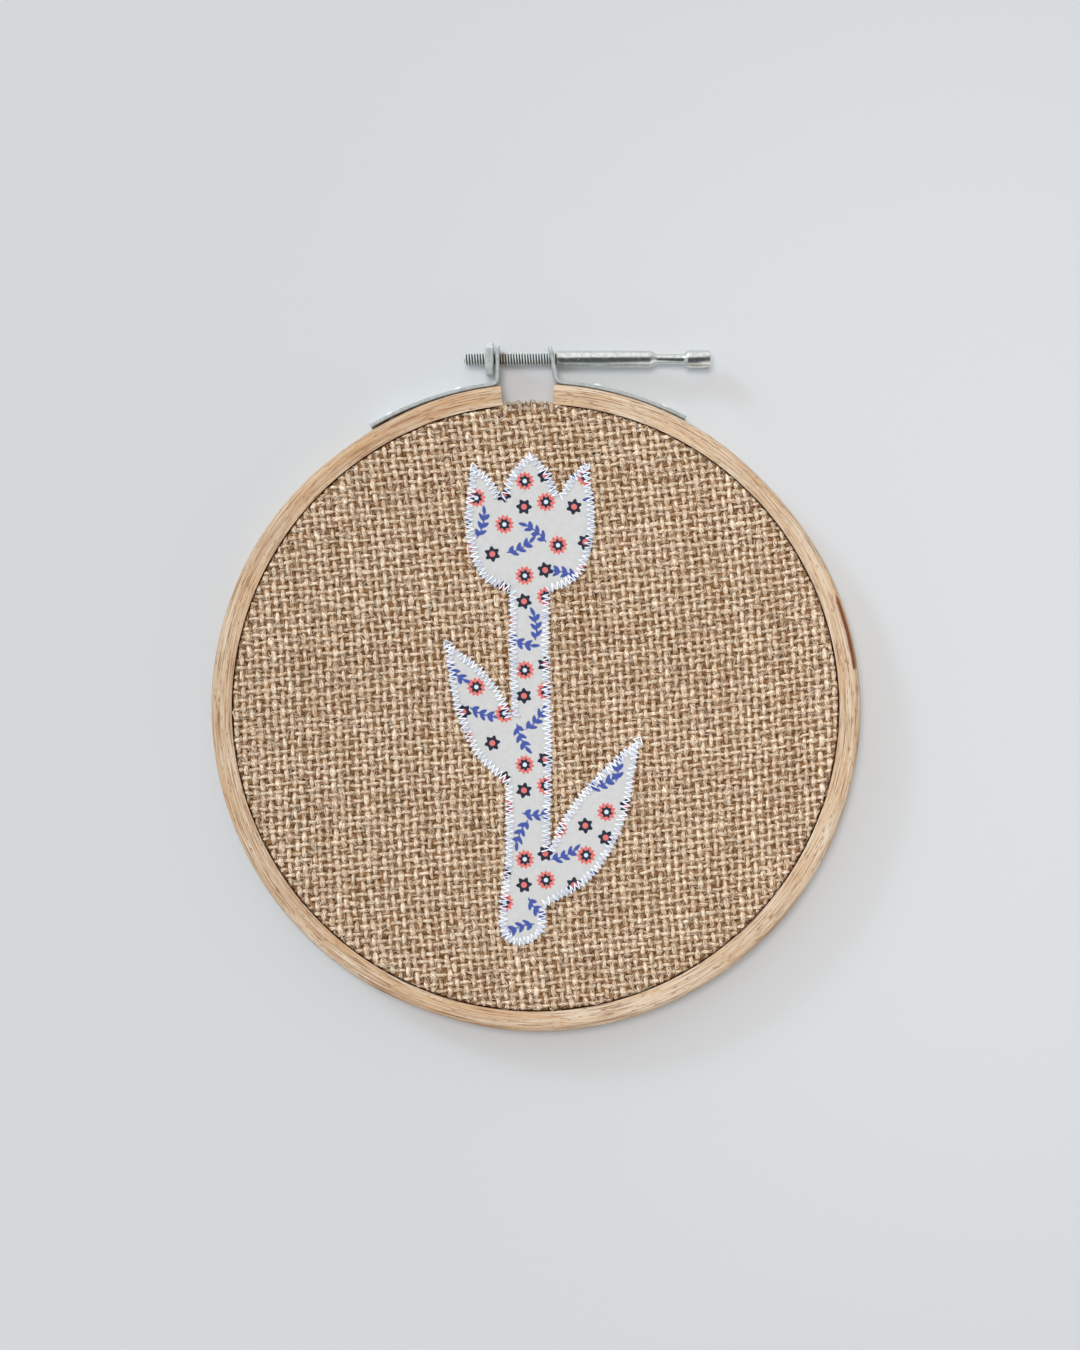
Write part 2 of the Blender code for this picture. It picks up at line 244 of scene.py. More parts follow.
def bareBeech():
    # Sanded beech, steamed and bent, with no varnish: satin, pale straw to tan, with fine brown
    # lines and short rays that run round the hoop. "grain" is (round the hoop, across, height).
    material, tree, shader = newMaterial("bareBeech", {"Roughness": woodFinish["roughness"]})
    grain = attribute(tree, "grain", "Vector")
    across, along = 1 / woodFinish["streakWidth"], 1 / woodFinish["streakLength"]
    fleckAlong, fleckAcross = 1 / woodFinish["fleckLength"], woodFinish["flecksAcross"]
    band = noise(tree, stretched(tree, grain, woodFinish["bandScale"]), 1.0, 3.0)
    line = noise(tree, stretched(tree, grain, (along, across, across)), 1.0, 5.0, 0.65)
    fleck = noise(tree, stretched(tree, grain, (fleckAlong, fleckAcross, fleckAcross)), 1.0, 1.0)
    patch = noise(tree, stretched(tree, grain, woodFinish["patchScale"], (7, 3, 1)), 1.0, 2.0)
    tone = combine(tree, "ADD", line, attribute(tree, "tone"))
    tone = combine(tree, "MULTIPLY_ADD", band, 0.45, tone)
    colour = ramp(tree, tone, (0.57, woodFinish["warm"]), (0.69, woodFinish["body"]),
                  (0.83, woodFinish["pale"]))
    colour = blend(tree, rescale(tree, patch, 0.45, 0.7, (0.0, 0.6)), colour, woodFinish["blush"])
    colour = blend(tree, rescale(tree, line, 0.44, 0.34, (0.0, 0.85)), colour, woodFinish["streak"])
    colour = blend(tree, rescale(tree, fleck, 0.63, 0.70, (0.0, 0.75)), colour, woodFinish["streak"])
    # the real bark streak on the outer rounding, and painted shade on the inner wall
    barkAndShade = rescale(tree, combine(tree, "MULTIPLY", attribute(tree, "barkAndShade"), line), 0.28, 0.42)
    colour = blend(tree, barkAndShade, colour, woodFinish["barkAndShade"])
    tree.links.new(colour, shader.inputs["Base Color"])
    addBump(tree, shader, combine(tree, "SUBTRACT", line, barkAndShade), 0.35, 0.0002)
    return material


outerHoop = {
    "inside": clothHigh[0] + 0.14, "outside": woodHigh[0], "depth": woodHigh[2],
    "roundings": (0.7, 1.8, 0.2, 0.7),
    "gapFrom": -6.2, "gapTo": 3.3,  # degrees clockwise from the top
    "steps": 420, "cornerSteps": 7,
    "swell": 0.22,                  # thicker all round, then more or less at (middle, spread, millimetres)
    "thins": ((48, 16, -0.75), (-160, 14, -0.55), (125, 28, 0.2), (90, 12, 0.15), (-35, 14, -0.6)),
    "tones": ((-85, 45, -0.045), (-30, 30, -0.03), (-150, 40, -0.015), (180, 50, -0.03)),
    "barkFrom": 66.0, "barkTo": 90.0, "barkBreak": 84.5,  # degrees
}
innerHoop = {
    "inside": innerHigh[0] - 4.8, "outside": innerHigh[0], "depth": innerHigh[2],
    "roundings": (0.6, 0.6, 0.6, 0.6), "steps": 360, "cornerSteps": 4,
}


def bumpsRound(angle, bumps):
    # a sum of bell curves round the hoop: middle and spread in degrees clockwise from the top, and height
    total = np.zeros_like(angle)
    for middle, spread, change in bumps:
        away = (np.degrees(angle) - middle + 180) % 360 - 180
        total += change * np.exp(-(away / spread) ** 2)
    return total


def hoopSurface(hoop, startDegrees, endDegrees, closed):
    # a rounded box section (radius, height) carried round the hoop's middle
    angle = np.radians(np.linspace(startDegrees, endDegrees, hoop["steps"], endpoint=not closed))[:, None]
    section = roundedBox((hoop["inside"], 0), (hoop["outside"], hoop["depth"]),
                         hoop["roundings"], hoop["cornerSteps"])
    radius, height = section[:, 0][None, :], section[:, 1][None, :]
    outwards = (radius - hoop["inside"]) / (hoop["outside"] - hoop["inside"])
    swell = hoop.get("swell", 0) + bumpsRound(angle, hoop.get("thins", ()))
    points = ringPoints(radius + swell * outwards, angle, height)
    grain = np.stack(np.broadcast_arrays(angle * hoop["outside"], radius - hoop["inside"], height), axis=-1)
    return points, grain, np.broadcast_arrays(np.degrees(angle), radius, height)


def makeHoops(wood):
    points, grain, (degrees, radius, height) = hoopSurface(
        outerHoop, outerHoop["gapTo"], 360 + outerHoop["gapFrom"], False)
    rows, columns = points.shape[:2]
    # a broken brown streak of bark edge on the outer rounding of the right side
    run = softStep((degrees - outerHoop["barkFrom"]) / 6) * softStep((outerHoop["barkTo"] - degrees) / 3)
    broken = softStep(np.abs(degrees - outerHoop["barkBreak"]) / 1.2 - 0.3)
    edge = np.exp(-((radius - outerHoop["outside"] + 0.9) / 0.75) ** 2) * softStep((height - 5.0) / 2)
    barkAndShade = run * broken * edge * np.where(degrees > outerHoop["barkBreak"], 0.75, 1.0)
    barkAndShade = np.where(radius < outerHoop["inside"] + 0.07, 0.9, barkAndShade)  # painted shade: the inner wall is coloured dark brown, for the shade in the crevice between cloth and wood
    tone = bumpsRound(np.radians(degrees), outerHoop["tones"])
    looks = {"grain": grain.reshape(-1, 3), "barkAndShade": barkAndShade.ravel(), "tone": tone.ravel()}
    hoop = makePiece("hoopOuter", points.reshape(-1, 3), [gridFaces(rows, columns), endCaps(rows, columns)],
                     wood, looks, 50)
    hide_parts("outer_hoop")
    points, grain, _ = hoopSurface(innerHoop, 0, 360, True)
    rows, columns = points.shape[:2]
    plain = np.zeros(rows * columns)
    hoop = makePiece("hoopInner", points.reshape(-1, 3), [gridFaces(rows, columns, closeRows=True)],
                     wood, {"grain": grain.reshape(-1, 3) + 40.0, "barkAndShade": plain, "tone": plain})
    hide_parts("inner_hoop")


makeHoops(bareBeech())
print("hoops made")


# Flower outline, the same as the solid's

flowerKnots = (
    # x, y, sharp
    (-4.2, -59.2, False),
    (1.6, -56.3, False),
    (2.6, -49.5, True),
    (14.0, -42.5, False),
    (22.2, -28.0, False),
    (26.0, -7.5, True),
    (14.0, -18.5, False),
    (6.4, -28.5, False),
    (3.4, -36.0, True),
    (3.9, -10.0, False),
    (3.2, 14.0, False),
    (3.4, 28.8, True),
    (11.2, 33.2, False),
    (14.6, 45.5, False),
    (13.0, 61.4, True),
    (8.8, 57.6, False),
    (5.8, 52.6, True),
    (3.3, 58.8, False),
    (-1.1, 63.7, True),
    (-5.9, 58.8, False),
    (-8.4, 52.6, True),
    (-11.6, 57.4, False),
    (-16.0, 60.8, True),
    (-17.2, 45.0, False),
    (-13.6, 33.0, False),
    (-6.4, 28.8, True),
    (-6.2, 14.0, False),
    (-5.8, -2.5, True),
    (-8.6, 3.4, False),
    (-13.8, 10.0, False),
    (-22.5, 16.5, True),
    (-20.2, 1.0, False),
    (-14.6, -12.0, False),
    (-7.2, -19.0, True),
    (-7.4, -38.0, False),
    (-8.6, -56.0, False),
)


def bezierOutline(knots, steps):
    # cubic stretches between knots; a soft knot's handles lie along its neighbours, a sharp one's aim at them
    middle = np.array([knot[:2] for knot in knots])
    sharp = np.array([knot[2] for knot in knots])[:, None]
    before, after = np.roll(middle, 1, axis=0), np.roll(middle, -1, axis=0)
    along = (after - before) / np.linalg.norm(after - before, axis=1, keepdims=True)
    backLength = np.linalg.norm(middle - before, axis=1, keepdims=True) / 3
    frontLength = np.linalg.norm(after - middle, axis=1, keepdims=True) / 3
    handleIn = middle + np.where(sharp, (before - middle) / 3, -along * backLength)
    handleOut = middle + np.where(sharp, (after - middle) / 3, along * frontLength)
    nextIn = np.roll(handleIn, -1, axis=0)
    t = (np.arange(steps) / steps)[None, :, None]
    a, b, c, d = (part[:, None] for part in (middle, handleOut, nextIn, after))
    curve = a * (1 - t) ** 3 + 3 * b * t * (1 - t) ** 2 + 3 * c * t ** 2 * (1 - t) + d * t ** 3
    return curve.reshape(-1, 2)


def distanceToOutline(x, y, outline):
    # distance to the nearest edge, below zero inside, and the nearest place on the outline
    nearest = np.full(x.shape, np.inf)
    nearX, nearY = np.zeros(x.shape), np.zeros(x.shape)
    inside = np.zeros(x.shape, bool)
    for (startX, startY), (endX, endY) in zip(outline, np.roll(outline, -1, axis=0)):
        runX, runY = endX - startX, endY - startY
        share = np.clip(((x - startX) * runX + (y - startY) * runY) / (runX ** 2 + runY ** 2), 0, 1)
        edgeX, edgeY = startX + share * runX, startY + share * runY
        away = np.hypot(x - edgeX, y - edgeY)
        closer = away < nearest
        nearest = np.where(closer, away, nearest)
        nearX, nearY = np.where(closer, edgeX, nearX), np.where(closer, edgeY, nearY)
        crosses = (startY > y) != (endY > y)
        inside ^= crosses & (x < startX + (y - startY) * runX / (runY if runY else 1))
    return np.where(inside, -nearest, nearest), nearX, nearY


flowerOutline = bezierOutline(flowerKnots, 8)


# Burlap

weave = {
    "pitch": 1.97,          # 12 to 13 yarns an inch, both ways
    "warpHalfWidth": 0.56, "warpHalfHeight": 0.34, "warpWave": 0.29,
    "weftHalfWidth": 0.43, "weftHalfHeight": 0.29, "weftWave": 0.40,
    "warpPinch": 0.20, "weftPinch": 0.10,  # wider on top, narrower below
    "unevenSpacing": 0.10, "wander": 0.17, "jitter": 0.12, "rough": 0.042,
    "rise": 0.080, "riseMore": 0.0000051,                       # wefts climb to the right, more so far right
    "lean": 0.042, "leanTop": 0.000875, "leanBottom": 0.00125,  # warps lean to the left, more so at the top
    "yarnReach": 77.0,      # along the cloth from its middle; past the rim it goes down between the hoops
    "gapReach": 83.2, "gapFrom": -8.5, "gapTo": 5.5,
    "shoulder": 0.3, "shoulderFrom": 0.28,  # the cloth's middle turns down this far inside its outer face
    "stepsPerCrossing": 4, "sides": 6, "seed": 11,
    "uneven": 0.085, "slub": 0.13, "thickSlub": 0.6, "thickFrom": 0.42, "lump": 0.14,  # of a yarn's width
    "streaks": 2.4, "stains": 130.0, "fluff": 2200.0,  # noise scales: of the fibre, then per metre
    "topLight": 0.075,      # the tops of the waves are paler and the dips under crossing yarns darker
    "dark": "#5A391F", "body": "#D4AE89", "light": "#FFF2DC", "dull": "#BBA380",
    # colours of the painted shade in the holes of the weave
    "hollow": "#3A2513", "hollowLight": "#9A734E",
    "rimShade": 0.18,       # painted shade: the cloth is coloured darker brown where it turns down to the wood
    "gapSwell": 0.55,       # with no wood to press it, the rim swells in the gap
}
clothMidHeight = clothHigh[2] - 0.6
flatReach = clothHigh[0] - weave["shoulderFrom"] - weave["shoulder"]


def overTheRim(flat):
    # flat cloth (x, y, offset) to the drum: level out to the rim, round the shoulder, then straight down
    x, y, offset = flat[..., 0], flat[..., 1], flat[..., 2]
    radius = np.hypot(x, y)
    past = np.maximum(radius - flatReach, 0)
    turn = np.minimum(past / weave["shoulder"], np.pi / 2)
    down = np.maximum(past - weave["shoulder"] * np.pi / 2, 0)
    degrees = np.degrees(np.arctan2(x, y))
    swell = softStep((degrees - weave["gapFrom"]) / 2.5) * softStep((weave["gapTo"] - degrees) / 2.5)
    offset = offset * (1 - (0.55 - 0.4 * swell) * turn / (np.pi / 2))
    arm = weave["shoulder"] + offset + weave["gapSwell"] * swell
    newRadius = np.minimum(radius, flatReach) + arm * np.sin(turn)
    height = clothMidHeight - weave["shoulder"] + (weave["shoulder"] + offset) * np.cos(turn) - down
    grow = newRadius / np.maximum(radius, 0.001)
    return np.stack([x * grow, y * grow, height], axis=-1)


def smoothAlong(knots, steps):
    # Catmull-Rom: a cubic through knots (rows, n, 3) that leaves each one along its two neighbours
    before, start, end, after = knots[:, :-3], knots[:, 1:-2], knots[:, 2:-1], knots[:, 3:]
    before, start, end, after = (part[:, :, None] for part in (before, start, end, after))
    t = (np.arange(steps) / steps)[None, None, :, None]
    curve = 0.5 * (2 * start + (end - before) * t + (2 * before - 5 * start + 4 * end - after) * t ** 2
                   + (3 * start - before - 3 * end + after) * t ** 3)
    return curve.reshape(knots.shape[0], -1, knots.shape[2])


def sweepTubes(paths, halfWidth, halfHeight, sides):
    # an ellipse carried along each path (tubes, points, 3), its wide axis kept level
    along = np.gradient(paths, axis=1)
    along /= np.linalg.norm(along, axis=-1, keepdims=True)
    across = np.cross((0.0, 0.0, 1.0), along)
    across /= np.maximum(np.linalg.norm(across, axis=-1, keepdims=True), 1e-6)
    above = np.cross(along, across)
    turn = (np.arange(sides) + 0.5) / sides * 2 * np.pi
    sideways = across[:, :, None] * (halfWidth[..., None] * np.cos(turn))[..., None]
    upwards = above[:, :, None] * (halfHeight[..., None] * np.sin(turn))[..., None]
    return paths[:, :, None] + sideways + upwards


def tubeFaces(keep, sides):
    # keep (tubes, points): quads between kept points, and a cap on each end of a kept run
    tubes, steps = keep.shape
    at = (np.arange(tubes)[:, None] * steps + np.arange(steps)) * sides
    around = np.arange(sides)
    following = (around + 1) % sides
    joined = keep[:, :-1] & keep[:, 1:]
    first, second = at[:, :-1][joined][:, None], at[:, 1:][joined][:, None]
    quads = np.stack([first + around, first + following, second + following, second + around], axis=-1)
    padded = np.pad(joined, ((0, 0), (1, 1)))
    starts = padded[:, 1:] & ~padded[:, :-1]
    ends = padded[:, :-1] & ~padded[:, 1:]
    caps = np.concatenate([at[starts][:, None] + around[::-1], at[ends][:, None] + around])
    return [quads.reshape(-1, 4), caps]


def fibreCoordinates(paths, sides, turnsPerMillimetre):
    # cosine and sine round the yarn, turned as it is spun, and the way along it, for streaks of fibre
    lengths = np.linalg.norm(np.diff(paths, axis=1, prepend=paths[:, :1]), axis=-1)
    along = np.cumsum(lengths, axis=1)[..., None] + np.arange(paths.shape[0])[:, None, None] * 37.0
    turn = (np.arange(sides) + 0.5) / sides * 2 * np.pi + along * turnsPerMillimetre * 2 * np.pi
    return np.stack(np.broadcast_arrays(np.cos(turn), np.sin(turn), along * 0.45), axis=-1)


def juteYarn():
    # Jute, spun coarse and left unbleached: matt, straw to brown, streaked along its twisted fibres
    material, tree, shader = newMaterial("juteYarn", {"Roughness": 0.92, "Specular IOR Level": 0.2})
    streaks = noise(tree, attribute(tree, "fibre", "Vector"), weave["streaks"], 4.0, 0.8)
    strands = rescale(tree, streaks, 0.385, 0.625)
    mixed = combine(tree, "MULTIPLY_ADD", attribute(tree, "tone"), 2.0, strands)
    colour = ramp(tree, mixed, (0.08, weave["dark"]), (0.5, weave["body"]), (0.95, weave["light"]))
    stain = noise(tree, objectPlace(tree), weave["stains"], 2.0)
    colour = blend(tree, rescale(tree, stain, 0.5, 0.75, (0.0, 0.25)), colour, weave["dull"])
    tree.links.new(colour, shader.inputs["Base Color"])
    addBump(tree, shader, streaks, 0.9, 0.0003)
    return material


def juteHollowShade():
    # painted shade for the holes of the weave, on a sheet in its middle: the shaded sides of yarns, and the
    # fluff between them
    material, tree, shader = newMaterial("juteHollowShade", {"Roughness": 1.0, "Specular IOR Level": 0.1})
    fluff = noise(tree, objectPlace(tree), weave["fluff"], 2.0, 0.6)
    colour = ramp(tree, fluff, (0.38, weave["hollow"]), (0.62, weave["hollowLight"]))
    tree.links.new(colour, shader.inputs["Base Color"])
    return material


def crossingPoints(random):
    # where warp i meets weft j, uneven as hand-fed burlap is: (warps, wefts)
    half = int(weave["gapReach"] / weave["pitch"]) + 8
    number = np.arange(-half, half + 1)
    count = len(number)
    evenX, evenY = (number * weave["pitch"])[:, None], (number * weave["pitch"])[None, :]
    x, y = np.broadcast_arrays(evenX, evenY)
    for _ in range(4):  # each depends on the other, so a few rounds settle both
        leaned = evenX - weave["lean"] * y - weave["leanTop"] * np.maximum(y, 0) ** 2
        leaned = leaned + weave["leanBottom"] * np.maximum(-y - 38, 0) ** 2
        risen = evenY + weave["rise"] * x + weave["riseMore"] * np.maximum(x, 0) ** 3
        x, y = leaned, risen
    warpWander = weave["wander"] * slowNoise(random, count, count, (5, 9, 17))
    weftWander = weave["wander"] * slowNoise(random, count, count, (5, 8, 15)).T * 1.4
    x = x + random.normal(0, weave["unevenSpacing"], (count, 1)) + warpWander
    y = y + random.normal(0, weave["unevenSpacing"], (1, count)) + weftWander
    x = x + random.normal(0, weave["jitter"], x.shape)
    y = y + random.normal(0, weave["jitter"], y.shape)
    over = np.where((number[:, None] + number[None, :]) % 2 == 0, 1.0, -1.0)
    return x, y, over


def yarnSet(x, y, height, halfWidth, halfHeight, pinch, random):
    # yarns (rows) through their crossings; width and height swell in slubs and pinch where they go under
    knots = np.stack([x, y, height], axis=-1)
    paths = smoothAlong(knots, weave["stepsPerCrossing"])
    yarns, steps = paths.shape[:2]
    thickness = random.normal(1.0, weave["uneven"], (yarns, 1)).clip(0.8, 1.25)
    swell = slowNoise(random, yarns, steps, (22, 39, 71))
    lumps = slowNoise(random, yarns, steps, (5, 8, 13))
    slub = 1 + weave["slub"] * swell + weave["thickSlub"] * np.maximum(swell - weave["thickFrom"], 0)
    slub = slub + weave["lump"] * lumps
    wave = paths[..., 2] / np.abs(height).max()
    width = halfWidth * thickness * slub * (1 + pinch * wave)
    tall = halfHeight * (0.55 + 0.45 * thickness) * (1 + 0.08 * swell + 0.08 * lumps)
    tone = random.normal(0, 0.02, (yarns, 1)) + 0.03 * slowNoise(random, yarns, steps, (31, 83))
    # paler where the yarn rides high, darker where it dips under
    tone = tone + 0.02 * lumps + weave["topLight"] * wave
    return paths, width, tall, tone


def makeYarns(name, group, jute, side):
    # wraps the yarns over the rim and keeps those points that reach no further than the cloth does
    paths, width, tall, tone = group
    degrees = np.degrees(np.arctan2(paths[..., 0], paths[..., 1]))
    inGap = (degrees > weave["gapFrom"]) & (degrees < weave["gapTo"]) & (paths[..., 1] > 0)
    reach = np.where(inGap, weave["gapReach"], weave["yarnReach"])
    keep = (np.hypot(paths[..., 0], paths[..., 1]) < reach) & side
    random = np.random.default_rng(weave["seed"] + len(name))
    tubes = sweepTubes(paths, width, tall, weave["sides"])
    solid = overTheRim(tubes + random.normal(0, weave["rough"], tubes.shape))
    fibre = fibreCoordinates(paths, weave["sides"], 0.14)
    # painted shade: yarns darken where they turn down to the wood, but not in the gap, where there is no wood
    rim = softStep((np.hypot(paths[..., 0], paths[..., 1]) - flatReach) / 0.6)
    tone = tone - weave["rimShade"] * rim * ~inGap
    tones = np.repeat(tone[..., None], weave["sides"], axis=-1)
    return makePiece(name, solid.reshape(-1, 3), tubeFaces(keep, weave["sides"]), jute,
                     {"fibre": fibre.reshape(-1, 3), "tone": tones.ravel()})


def makeHoleShade(hollow):
    # a thin sheet along the middle of the weave, carrying the painted shade of its holes: rings of points,
    # level, round the shoulder, down to the hem
    hemReach = flatReach + weave["shoulder"] * np.pi / 2 + clothMidHeight - weave["shoulder"] - 1.0
    level = np.linspace(2.0, flatReach, 30)
    shoulder = np.linspace(flatReach, flatReach + weave["shoulder"] * np.pi / 2, 7)[1:]
    skirt = np.linspace(shoulder[-1], hemReach, 6)[1:]
    radius = np.concatenate([level, shoulder, skirt])[:, None]
    angle = np.linspace(0, 2 * np.pi, 180, endpoint=False)[None, :]
    flat = ringPoints(radius, angle, 0.0)
    rows, columns = flat.shape[:2]
    points = overTheRim(flat).reshape(-1, 3)
    holeShade = makePiece("burlapHoleShade", points, [gridFaces(rows, columns), endCaps(rows, columns)[:1]],
                       hollow)
    skin = holeShade.modifiers.new("Thickness", "SOLIDIFY")
    skin.thickness = 0.12 * millimetre
    skin.offset = 0.0
    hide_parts("burlap_cloth")
    return holeShade, 2 * hemReach * millimetre


fuzz = {
    "count": 15400, "thin": 0.04, "thick": 0.14, "shortest": 1.0, "longest": 5.0, "points": 4, "sides": 3,
    "seed": 5, "rimCount": 60, "rimDegrees": (-5.6, 2.8),  # more of them where the rim is bare
    # x, y, degrees, length
    "strays": ((65.9, 0.8, 49.0, 9.0), (-30.5, 28.0, 120.0, 7.0), (20.0, -66.0, 15.0, 6.0)),
}


def makeFibres(jute):
    # loose fibres: short curved hairs that rise out of the weave, arch over a few yarns and sink again;
    # some curl into open loops
    random = np.random.default_rng(fuzz["seed"])
    count = fuzz["count"]
    radius = clothHigh[0] * np.sqrt(random.uniform(0, 1, count))
    around = random.uniform(0, 2 * np.pi, count)
    heading = random.choice([0.0, np.pi / 2], count) + random.normal(0, 0.5, count)
    length = fuzz["shortest"] + (fuzz["longest"] - fuzz["shortest"]) * random.beta(1.3, 4.5, count)
    middle = np.stack([radius * np.sin(around), radius * np.cos(around)], axis=-1)
    lift = random.uniform(-0.25, 0.45, count)
    halfWidth = fuzz["thin"] + (fuzz["thick"] - fuzz["thin"]) * random.uniform(0, 1, (count, 1)) ** 2
    turning = random.normal(0, 1.1, count) + random.choice([0.0, 3.2], count, p=[0.75, 0.25])
    along, edge = np.radians(random.uniform(*fuzz["rimDegrees"], fuzz["rimCount"])), clothHigh[0] - 0.4
    middle[:len(along)] = np.stack([np.sin(along), np.cos(along)], axis=-1) * edge
    heading[:len(along)] = random.uniform(0, 2 * np.pi, len(along))
    lift[:len(along)] = random.uniform(0.2, 0.8, len(along))
    for i, (x, y, degrees, strayLength) in enumerate(fuzz["strays"], len(along)):
        middle[i] = (x, y)
        heading[i], length[i], lift[i] = math.radians(degrees), strayLength, 0.5
        halfWidth[i], turning[i] = 0.11, 0.3
    share = np.linspace(-0.5, 0.5, fuzz["points"])[None, :]
    curl = 0.25 * np.sin(share * 9 + random.uniform(0, 6.3, count)[:, None])
    direction = heading[:, None] + turning[:, None] * share + curl
    step = (length / (fuzz["points"] - 1))[:, None]
    reach = length[:, None] / 2
    x = middle[:, :1] + np.cumsum(np.cos(direction) * step, axis=1) - np.cos(heading)[:, None] * reach
    y = middle[:, 1:] + np.cumsum(np.sin(direction) * step, axis=1) - np.sin(heading)[:, None] * reach
    arch = 1 - (2 * share) ** 2
    offset = 0.12 + (0.42 + lift[:, None]) * arch
    outside = distanceToOutline(x, y, flowerOutline)[0].min(axis=1) > 0.4
    inside = np.hypot(x, y).max(axis=1) < clothHigh[0] + 0.8
    kept = outside & inside
    paths = np.stack([x, y, offset], axis=-1)[kept]
    taper = halfWidth[kept] * (0.5 + 0.5 * arch)
    solid = overTheRim(sweepTubes(paths, taper, taper, fuzz["sides"]))
    fibre = fibreCoordinates(paths, fuzz["sides"], 0.05)
    tone = np.repeat(random.normal(0.16, 0.12, len(paths)), fuzz["points"] * fuzz["sides"])
    pieces = []
    for name, half in (("burlapFibresLeft", paths[:, 0, 0] < 0), ("burlapFibresRight", paths[:, 0, 0] >= 0)):
        faces = tubeFaces(np.broadcast_to(half[:, None], paths.shape[:2]), fuzz["sides"])
        pieces.append(makePiece(name, solid.reshape(-1, 3), faces, jute,
                                {"fibre": fibre.reshape(-1, 3), "tone": tone}))
    return pieces


def makeBurlap():
    random = np.random.default_rng(weave["seed"])
    jute = juteYarn()
    x, y, over = crossingPoints(random)
    warps = yarnSet(x, y, over * weave["warpWave"], weave["warpHalfWidth"], weave["warpHalfHeight"],
                    weave["warpPinch"], random)
    wefts = yarnSet(x.T, y.T, -over.T * weave["weftWave"], weave["weftHalfWidth"], weave["weftHalfHeight"],
                    weave["weftPinch"], random)
    warpLeft = np.arange(len(warps[0]))[:, None] < len(warps[0]) // 2
    weftLower = np.arange(len(wefts[0]))[:, None] < len(wefts[0]) // 2
    pieces = [
        makeYarns("burlapWarpLeft", warps, jute, warpLeft),
        makeYarns("burlapWarpRight", warps, jute, ~warpLeft),
        makeYarns("burlapWeftLower", wefts, jute, weftLower),
        makeYarns("burlapWeftUpper", wefts, jute, ~weftLower),
        *makeFibres(jute),
    ]
    holeShade, across = makeHoleShade(juteHollowShade())
    for piece in pieces:
        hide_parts("burlap_cloth")


makeBurlap()
print("burlap woven")


# Cotton flower

cotton = {
    "cell": 0.33,         # mesh spacing, fine enough for the print's edges
    "thickness": 0.28, "puff": 0.22,
    "cloth": "#C3C1BE", "clothShade": "#B5B3B0",
    "coral": "#CB6962", "navy": "#1D2232", "blue": "#3E4D90", "dot": "#C6CFD8",
    "threadPitch": 0.34,  # about twice the real 75 threads an inch, so that the weave shows
}
# One repeat of the print: coral flowers, navy stars and blue sprigs; each second column drops half a repeat
printRepeat = (20.4, 23.6)
coralFlowers = ((3.6, 4.2, 10), (13.6, 10.4, 40), (6.6, 17.0, 75), (18.7, 21.2, 20))   # x, y, degrees
navyStars = ((10.6, 3.0, 5), (3.4, 10.8, 30), (13.4, 17.8, 60), (18.5, 14.8, 45))
blueSprigs = ((17.6, 4.4, 70), (8.2, 10.2, 118), (1.2, 20.4, 95))


def printedCotton():
    # Fine plain-woven quilting cotton, printed: matt, pale grey, with sharp-edged coral, navy and blue.
    # Each colour's attribute is the distance in millimetres to the edge of its print.
    material, tree, shader = newMaterial("printedCotton", {"Roughness": 0.85, "Sheen Weight": 0.15})
    place = objectPlace(tree)
    shade = noise(tree, place, 900.0, 2.0)
    colour = blend(tree, shade, toLinear(cotton["clothShade"]), cotton["cloth"])
    inks = (("blue", "blue"), ("coral", "coral"), ("navy", "navy"), ("heart", "coral"), ("dot", "dot"))
    for key, ink in inks:
        inked = rescale(tree, attribute(tree, key), 0.05, -0.05)
        colour = blend(tree, inked, colour, cotton[ink])
    tree.links.new(colour, shader.inputs["Base Color"])
    scale = 1 / (cotton["threadPitch"] * millimetre)
    waves = [addNode(tree, "TexWave", {"Vector": place, "Scale": scale / 6.2832, "Distortion": 0.6},
                     bands_direction=axis).outputs["Fac"] for axis in ("X", "Y")]
    addBump(tree, shader, combine(tree, "ADD", *waves), 0.25, 0.00005)
    return material


def motifPlaces(motifs):
    # repeats a list of motifs over the flower's box, with a half drop in each second column
    width, height = printRepeat
    places = []
    for column in range(-2, 3):
        for row in range(-4, 4):
            for x, y, degrees in motifs:
                placeY = (row + 0.5 * (column % 2)) * height + y
                turn = math.radians(degrees + 47 * row + 90 * column)
                places.append((column * width + x - 1.0, placeY, turn))
    return places


